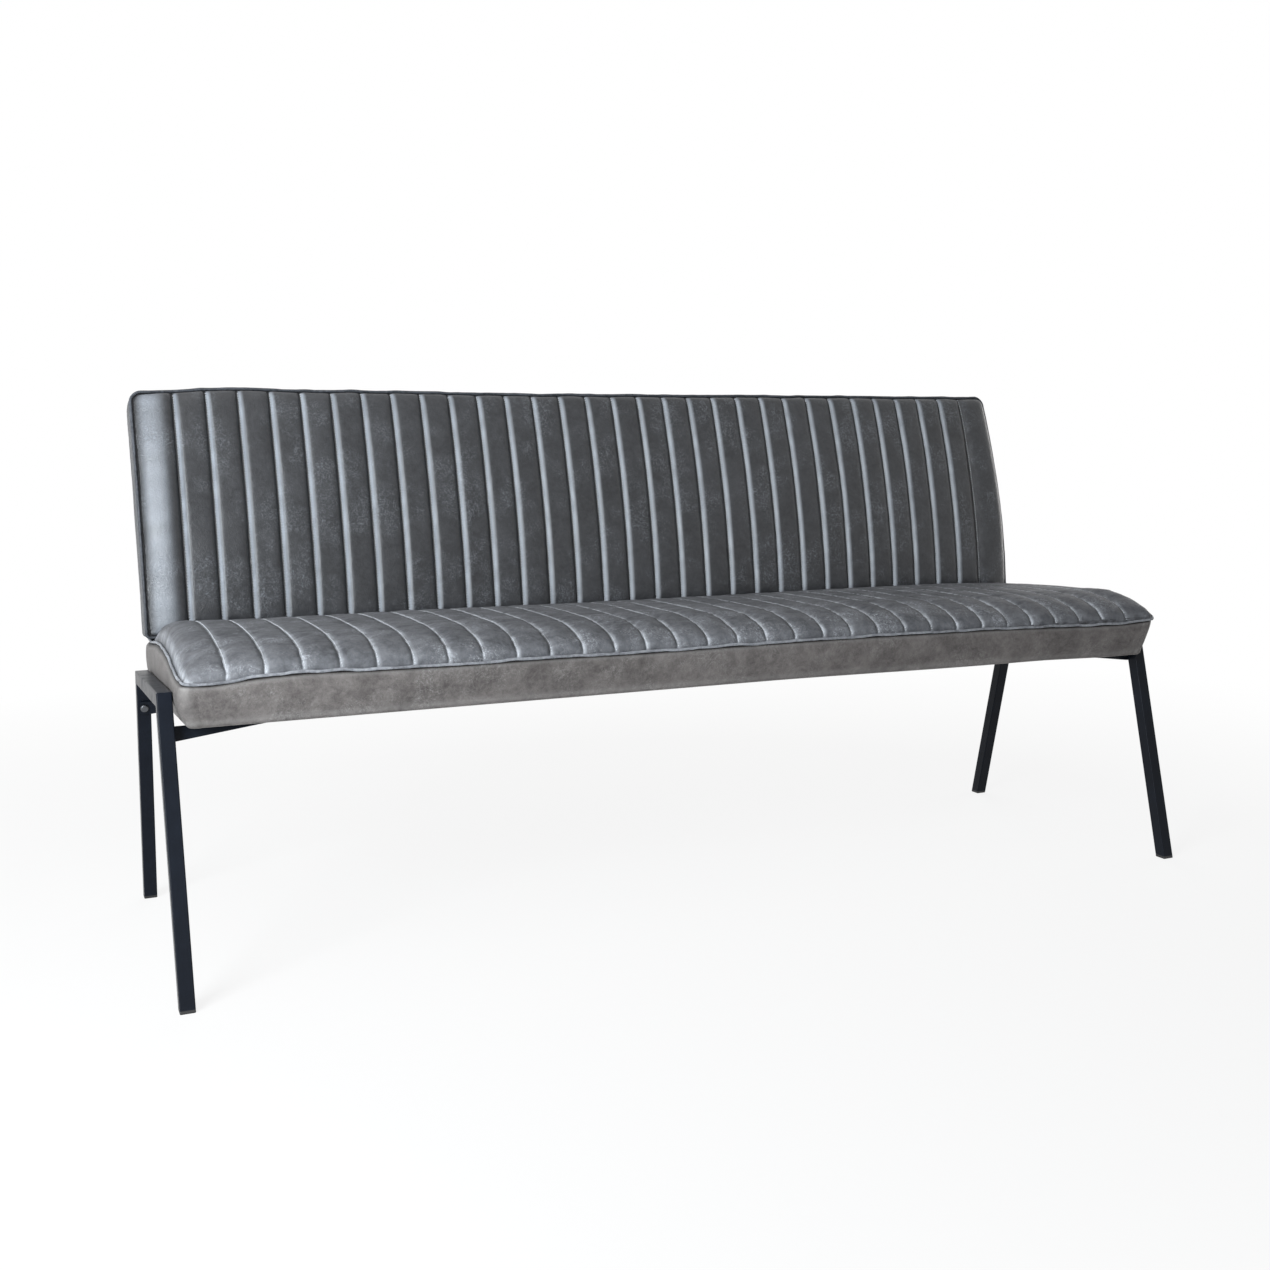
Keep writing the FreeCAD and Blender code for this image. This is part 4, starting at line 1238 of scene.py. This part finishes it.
# %% [markdown]
# ## The back's channelled front
# The front is the same grid of channels, standing taller than on the seat because nobody
# sits on them. Near the piping the padding rolls down on all four sides. The end channels
# are round from their seam right to the piping, which is why the left one catches the
# light over most of its width; a painted highlight is laid over that part as well. Each
# seam's flank also gets a painted highlight, and its creases painted shade. The front
# piping wanders a little along the top, and the skin's upper edge follows it.

# %% Back body
back_rows = 100
back_channel_height = 0.0058
back_flank = 0.145
back_steepness = 1.1
back_seam_bite = 0.0030
back_roll = 0.022
back_roll_power = 2.2
back_crown = 0.0066
left_end_bulge = 0.003
right_end_bulge = 0.007
back_oversize = 0.001
back_cap = 0.0008
row_crowding = 0.035
skin_top_reach = 0.05
top_waves = ((0.05, 0.0008), (0.02, 0.0006))
front_top_seed = 91
rear_top_seed = 95
top_wander_x = (-0.876, -0.83, -0.76, -0.60, -0.42, -0.25, 0.0, 0.40, 0.876)
top_wander_z = (-0.0010, 0.0020, 0.0070, 0.0056, 0.0046, 0.0016, 0.0006, 0.0008, 0.0)


def top_wander(x, seed):
    """How far a top piping strays from its level line."""
    return spline(x, top_wander_x, top_wander_z) + waver(x, seed, *top_waves)


def back_side(edge, climb):
    """Half width of the back's skins at a rise, drawn in at the rounded corners."""
    foot = drawn_in(edge, back_foot_radius - skin_gap, climb - skin_gap)
    top = drawn_in(edge, back_corner_radius - skin_gap, back_length - skin_gap - climb)
    return np.minimum(foot, top)


def back_body():
    """Places over the back's front as x and rise, with what the channels need."""
    edge = back_half_width - skin_gap
    x, share, number = channel_columns(edge)
    up = np.linspace(0, 1, back_rows)
    low, high = skin_gap, back_length - skin_gap
    climb = low + (high - low) * (up - row_crowding * np.sin(2 * math.pi * up))
    x_grid, climb_grid = np.meshgrid(x, climb)
    to_end = np.minimum(climb - low, high - climb)[:, None]
    x_grid, beyond = draw_in_ends(x_grid, back_side(edge, climb)[:, None])
    near_top = rise((climb_grid - high + skin_top_reach) / skin_top_reach)
    climb_grid = climb_grid + top_wander(x_grid, front_top_seed) * near_top
    return x_grid, climb_grid, share, number, to_end, beyond


print("back grid:", back_body()[0].shape)

# %% Back relief sizes
left_end_power = 2.2
right_end_power = 4.0
back_swell_change = 0.10
back_swell_run = 0.11
back_pucker_height = 0.0006
back_pucker_start = 0.002
back_pucker_reach = 0.006
back_soft_height = 0.0006
back_seam_width = 0.0018
# Where the pale strips start, how fast they fade in, where they end and how fast they fade out.
# On the flanks they are rubbing and a painted highlight, on the left end a painted highlight.
flank_strip = (0.040, 0.015, 0.100, 0.07)
end_flank_strip = (0.15, 0.35, 0.72, 0.25)
flank_rub_and_highlight = 0.76
left_end_highlight = 0.46
back_edge_rub = 0.10
rub_and_highlight_change = 0.15
ledge_shade = 0.55
back_seam_shade = 0.80
back_seam_shade_place = 0.0016
edge_shade = 0.85
edge_shade_width = 0.0030
print("pale flank: from", flank_strip[0], "to", flank_strip[2], "of a channel's width")

# %% Back relief


def end_heights(x_grid, climb_grid, beyond):
    """Height of the back's end channels: the left one round, the right one fuller."""
    left_fill = rise(beyond / 0.10) * back_channel_height + left_end_bulge * rise(beyond / 0.3)
    right_fill = rise(beyond / 0.25) * back_channel_height + rise(beyond) * right_end_bulge * (
        np.sin(np.clip(climb_grid / back_length, 0, 1) * math.pi) ** 0.6)
    left = (back_crown + left_fill) * (1 - beyond ** left_end_power)
    right = (1 - beyond ** right_end_power) ** (1 / right_end_power)
    return np.where(x_grid < 0, left, (back_crown + right_fill) * right)


def back_relief(x_grid, climb_grid, share, number, to_end, beyond):
    """Height of the front above the piping's arc, and how much rubbing, painted highlight
    and painted shade each point carries.
    """
    in_end = beyond > 0
    swell = 1 + back_swell_change * drift_noise(climb_grid / back_swell_run, number, 51)
    raised = arch(share, back_flank, back_steepness) * back_channel_height * swell
    rolled = 1 - np.clip(to_end / back_roll, 0, 1)
    rolled = (1 - rolled ** back_roll_power) ** (1 / back_roll_power)
    distance, side = beside_seam(share, number)
    distance = np.where(in_end, beyond * (back_half_width - last_seam), distance)
    gather = drift_noise(climb_grid / 0.0065, side, 61)
    pucker = gather * np.exp(-distance / back_pucker_reach) * rise(distance / back_pucker_start)
    pucker = pucker * back_pucker_height
    soft = drift_noise(x_grid / 0.035, climb_grid / 0.07, 67) * back_soft_height
    seam = bell(distance, back_seam_width)
    smooth = np.where(in_end, end_heights(x_grid, climb_grid, beyond), back_crown + raised)
    height = (smooth + pucker + soft - seam * back_seam_bite) * rolled
    height = height - crease_depth * (1 - np.minimum(rolled, (1 - beyond ** 6)))
    # Pale flank strips: rubbing and a painted highlight; on the left end channel a painted
    # highlight.
    flank = np.where(in_end, 0, strip(share, *flank_strip))
    left_end_highlight_mask = strip(beyond, *end_flank_strip) * in_end * (x_grid < 0)
    worn_and_highlight = 1 - rub_and_highlight_change + rub_and_highlight_change * drift_noise(climb_grid / 0.02, number, 69)
    rub_and_highlight = (flank_rub_and_highlight * flank + left_end_highlight * left_end_highlight_mask) * worn_and_highlight
    rub_and_highlight = rub_and_highlight + back_edge_rub * np.exp(-to_end / 0.004)
    edge_gap = np.minimum(to_end, np.where(in_end, (1 - beyond) * (back_half_width - last_seam), 1))
    seam_gap = np.where(in_end, distance, right_seam_gap(share))
    ledge = ledge_shade * (1 - rise((share - 0.030) / 0.022)) * (beyond == 0)
    past_seam = np.maximum(seam_gap - back_seam_shade_place, 0)
    shaded = (edge_shade * bell(edge_gap, edge_shade_width) + ledge
              + back_seam_shade * bell(past_seam, back_seam_width))
    return height, {"rub_and_highlight": np.clip(rub_and_highlight, 0, 1), "shaded": np.clip(shaded, 0, most_shade)}


print("back channels:", round(back_channel_height * 1000, 1), "mm high")

# %% Back front


def make_back_front():
    x_grid, climb_grid, share, number, to_end, beyond = back_body()
    height, marks = back_relief(x_grid, climb_grid, share, number, to_end, beyond)
    points = on_back(x_grid, climb_grid, -height)
    points = swell_leather(points, held_lines(height.shape, share), back_oversize, back_cap)
    all_points, faces = close_skin(points, on_back(x_grid, climb_grid, skin_depth))
    piece = make_piece("back_cushion_front", all_points, faces, back_leather, marks)
    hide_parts("back_quilted_panel", "back_foam")
    return points


back_points = make_back_front()

# %% [markdown]
# ## The back's band, rear and piping
# A plain band closes the back's edge between two lines of piping, and a plain panel covers
# the rear. The band is one closed strip round the outline, swelling between its two seams.
# The rear panel has a low crown, and slow unevenness from the wadding under it.

# %% Back band
back_band_rows = 14
inner_band_rows = 5
back_band_spacing = 0.007
back_band_bulge = 0.0040
back_band_tuck = 0.0022
back_tuck_share = 0.06
back_wave_height = 0.0010
foot_swell_share = 0.3
outline_top_reach = 0.03
plain_edge_rub = 0.2
rear_crown = 0.0045
rear_edge_width = 0.03
rear_columns = 220
rear_rows = 60


def back_outline(spacing, seed):
    """Places round the back's outline as x and rise, with outward directions."""
    places, outward = round_outline(back_half_width, 0.0, back_length,
                                    back_foot_radius, back_corner_radius, spacing)
    x, climb = places.T
    near_top = rise((climb - back_length + outline_top_reach) / outline_top_reach)
    return x, climb + top_wander(x, seed) * near_top, outward


def edge_marks(gap, rubbed_at, reach):
    """Marks of a plain cover: rubbed a little way in from its edge, and shaded right at it."""
    return {"rub_and_highlight": plain_edge_rub * bell(gap - rubbed_at, reach),
            "shaded": edge_shade * bell(gap, edge_shade_width)}


def make_back_band():
    front_x, front_climb, outward = back_outline(back_band_spacing, front_top_seed)
    _, rear_climb, _ = back_outline(back_band_spacing, rear_top_seed)
    nx, nr = outward.T
    run = lengths_along(np.stack([front_x, front_climb], 1))
    near = piping_radius * piping_overlap
    far = back_depth - near
    shares = np.concatenate([np.linspace(0, 1, back_band_rows), np.linspace(1, 0, inner_band_rows)])
    rings = []
    for index, share in enumerate(shares):
        inside = index >= back_band_rows
        climb = front_climb + (rear_climb - front_climb) * share
        swell = back_band_bulge * (4 * share * (1 - share)) ** 0.7 - back_band_tuck * inside
        tuck = back_band_tuck * (math.exp(-share / back_tuck_share)
                                 + math.exp(-(1 - share) / back_tuck_share))
        wave = back_wave_height * drift_noise(run / 0.09, share * 2, 71) * math.sin(share * math.pi)
        out = (swell + wave) * np.where(nr < -0.5, foot_swell_share, 1.0)
        out = out - tuck - band_thickness * inside
        rings.append(on_back(front_x + nx * out, climb + nr * out, near + (far - near) * share))
    points = np.array(rings)[::-1]
    to_piping = np.minimum(shares, 1 - shares)[::-1, None] * back_depth + np.zeros(len(run))
    piece = make_piece("back_cushion_band", points, ring_faces(*points.shape[:2]),
                       back_band_leather, edge_marks(to_piping, 0.008, 0.004))
    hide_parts("back_boxing", "back_wadding")


make_back_band()

# %% Back rear


def make_back_rear():
    edge = back_half_width - skin_gap
    x, climb = np.meshgrid(np.linspace(edge, -edge, rear_columns),
                           np.linspace(skin_gap, back_length - skin_gap, rear_rows))
    to_end = np.minimum(climb - skin_gap, back_length - skin_gap - climb)
    x = np.sign(x) * np.minimum(np.abs(x), back_side(edge, climb))
    to_side = edge - np.abs(x)
    lift = (rise(to_end / rear_edge_width) * rise(to_side / rear_edge_width)) ** 0.7
    uneven = (drift_noise(x / 0.14, climb / 0.10, 81) * 0.0009
              + drift_noise(x / 0.04, climb / 0.05, 82) * 0.0003)
    height = (rear_crown + uneven) * lift - 0.0006
    near_top = rise((climb - back_length + skin_top_reach) / skin_top_reach)
    climb = climb + top_wander(x, rear_top_seed) * near_top
    all_points, faces = close_skin(on_back(x, climb, back_depth + height),
                                   on_back(x, climb, back_depth - skin_depth))
    marks = edge_marks(np.minimum(to_end, to_side), 0.009, 0.005)
    piece = make_piece("back_cushion_rear", all_points, faces, rear_leather, marks)
    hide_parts("back_rear_panel")


make_back_rear()

# %% Back piping


def make_back_piping(name, node, depth, seed):
    x, climb, _ = back_outline(piping_spacing, seed)
    piece = make_roll(name, on_back(x, climb, depth), back_piping_shaded_leather, piping_radius, seed + 2)
    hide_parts(node)


make_back_piping("back_piping_front_roll", "back_piping_front", 0.0, front_top_seed)
make_back_piping("back_piping_rear_roll", "back_piping_rear", back_depth, rear_top_seed)

# %% [markdown]
# ## Stitches
# Each seam has a row of topstitching on its right-hand side, which holds a narrow ledge of
# leather down. A stitch is a short, slightly slanted bead of thread. All stitches of a
# cushion are one mesh. The same few points are placed again and again along each seam, on
# the skin that they lie on, all at once with arrays.

# %% Stitch beads
stitch_pitch = 0.0048
stitch_length = 0.0034
stitch_radius = 0.0007
stitch_slant = 0.0005
stitch_column = 1
stitch_margin = 0.008
bead_shares = (-1.0, -0.55, 0.0, 0.55, 1.0)
bead_thickness = (0.0, 0.95, 1.0, 0.95, 0.0)
bead_lift = (-0.7, 0.35, 0.6, 0.35, -0.7)
bead_sides = 5


def bead_faces():
    """Faces of one stitch: a point, three rings and a point. Triangles repeat their last corner."""
    turns = [(c, (c + 1) % bead_sides) for c in range(bead_sides)]
    faces = [(0, 1 + after, 1 + c, 1 + c) for c, after in turns]
    for ring in (1, 1 + bead_sides):
        faces += [(ring + c, ring + after, ring + bead_sides + after, ring + bead_sides + c)
                  for c, after in turns]
    last = 1 + 2 * bead_sides
    return np.array(faces + [(last + c, last + after, last + bead_sides, last + bead_sides)
                             for c, after in turns])


print("faces of one stitch:", len(bead_faces()))

# %% Stitch rows


def stitch_row(line, normals):
    """Points of one row of stitches along a line of points on a skin."""
    length = lengths_along(line)
    centres = np.arange(stitch_margin, length[-1] - stitch_margin, stitch_pitch)

    def at(places, values):
        return np.stack([np.interp(places, length, values[:, k]) for k in range(3)], 1)

    start, end = at(centres - stitch_length / 2, line), at(centres + stitch_length / 2, line)
    up = at(centres, normals)
    ahead = (end - start) / np.linalg.norm(end - start, axis=1, keepdims=True)
    aside = np.cross(ahead, up)
    aside /= np.linalg.norm(aside, axis=1, keepdims=True)
    middle, half = (start + end) / 2, (end - start) / 2
    parts = []
    for share, thickness, lift in zip(bead_shares, bead_thickness, bead_lift):
        spot = middle + half * share + aside * stitch_slant * share + up * stitch_radius * lift
        for corner in range(bead_sides if thickness else 1):
            angle = corner * 2 * math.pi / bead_sides
            outward = aside * math.cos(angle) + up * math.sin(angle)
            parts.append(spot + outward * stitch_radius * thickness)
    return np.stack(parts, 1)


def make_stitches(name, skin, last_row):
    """Topstitching beside every seam of a channelled skin."""
    normals = grid_normals(skin)
    beads = []
    for seam in range(seam_count):
        column = (seam + 1) * len(column_shares) + stitch_column
        line = (skin[:last_row, column] + skin[:last_row, column + 1]) / 2
        beads.append(stitch_row(line, normals[:last_row, column]))
    beads = np.concatenate(beads)
    firsts = np.arange(len(beads))[:, None, None] * beads.shape[1]
    faces = (bead_faces() + firsts).reshape(-1, 4).tolist()
    faces = [face[:3] if face[2] == face[3] else face for face in faces]
    make_piece(name, beads, faces, grey_thread)


make_stitches("seat_stitches", seat_points, seat_rows - 4)
make_stitches("back_stitches", back_points, back_rows)

# %% [markdown]
# ## Floor, backdrop and light
# The photograph shows the bench cut out on white, lit by a wide window on the left. A pale
# floor carries the shadow, and the world is white where the camera looks past the floor. A
# large soft lamp stands in for the window. Weaker ones fill from above, in front, behind
# and the right, so that colours come out about as they are written from every side.

# %% Floor and background
floor_reach = 14.0
floor_dark = (238.614, 238.614, 238.614)
floor_pale = (243.445, 243.445, 243.445)
glow_scale = 0.2
glow_stops = ((0.24, 0), (0.56, 1))
floor_glow_near = 0.86
floor_glow_far = 1.0
world_light = 0.05
window_tone = (0.91, 0.965, 1.0)
room_tone = (1.0, 0.99, 0.98)


def make_floor():
    """A pale floor that nearly vanishes into the white background, but keeps the shadow."""
    corners = np.array([(-1, -1, 0), (1, -1, 0), (1, 1, 0), (-1, 1, 0)]) * floor_reach
    floor = add_mesh("floor", corners, [(0, 1, 2, 3)])
    finish = Finish("pale floor")
    finish.set(Base_Color=finish.mix(finish.noise(0.02, 2.0, 0.5), floor_dark, floor_pale))
    finish.set(Roughness=0.95, Specular_IOR_Level=0.0)
    distance = finish.node("ShaderNodeVectorMath", {"operation": "LENGTH"}, {0: finish.place()},
                           "Value")
    far = finish.ramp(distance * glow_scale, *glow_stops)
    glow = finish.node("ShaderNodeEmission", None, {"Color": (1, 1, 1, 1), "Strength": 1.0})
    share = finish.seen() * (far * (floor_glow_far - floor_glow_near) + floor_glow_near)
    lit = finish.shader.outputs[0]
    blend = finish.node("ShaderNodeMixShader", None, {0: share, 1: lit, 2: glow})
    finish.feed(finish.tree.nodes["Material Output"].inputs["Surface"], blend)
    floor.data.materials.append(finish.material)
    floor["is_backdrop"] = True


def make_world(level):
    """White where it is seen, and a plain level of light elsewhere."""
    world = bpy.data.worlds.new("studio")
    bpy.context.scene.world = world
    sky = NodeSheet(world, "Background")
    sky.set(Color=(1, 1, 1, 1), Strength=sky.seen() * (1 - level) + level)


make_floor()
make_world(world_light)
print("floor:", floor_reach * 2, "m wide")

# %% Lamps


def soft_lamp(name, place, target, width, height, power, tone=room_tone):
    """A rectangular lamp that faces a target."""
    lamp = bpy.data.lights.new(name, "AREA")
    lamp.shape = "RECTANGLE"
    lamp.size = width
    lamp.size_y = height
    lamp.energy = power
    lamp.color = tone
    holder = add_object(name, lamp)
    holder.location = place
    holder.rotation_mode = "QUATERNION"
    holder.rotation_quaternion = (Vector(target) - Vector(place)).to_track_quat("-Z", "Y")


soft_lamp("window", (-2.30, -1.68, 1.22), (-0.5, 0.1, 0.6), 1.1, 1.5, 96, window_tone)
soft_lamp("ceiling", (-1.3, -0.6, 2.35), (-0.5, 0, 0.4), 1.8, 2.0, 15)
soft_lamp("fill", (-0.8, -3.8, 0.7), (-0.3, 0, 0.5), 2.2, 1.0, 6)
soft_lamp("rear", (0.9, 3.0, 1.9), (0, 0.3, 0.5), 2.6, 1.4, 42)
soft_lamp("side", (3.0, 0.6, 0.9), (0.8, 0, 0.5), 1.4, 1.2, 14)
bpy.context.scene.view_settings.view_transform = "Standard"

# %% Sizes and finish
new_low, new_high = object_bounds()
growth = (new_high - new_low) - (cad_high - cad_low)
print("grown by", [round(side * 1000, 1) for side in growth], "mm")
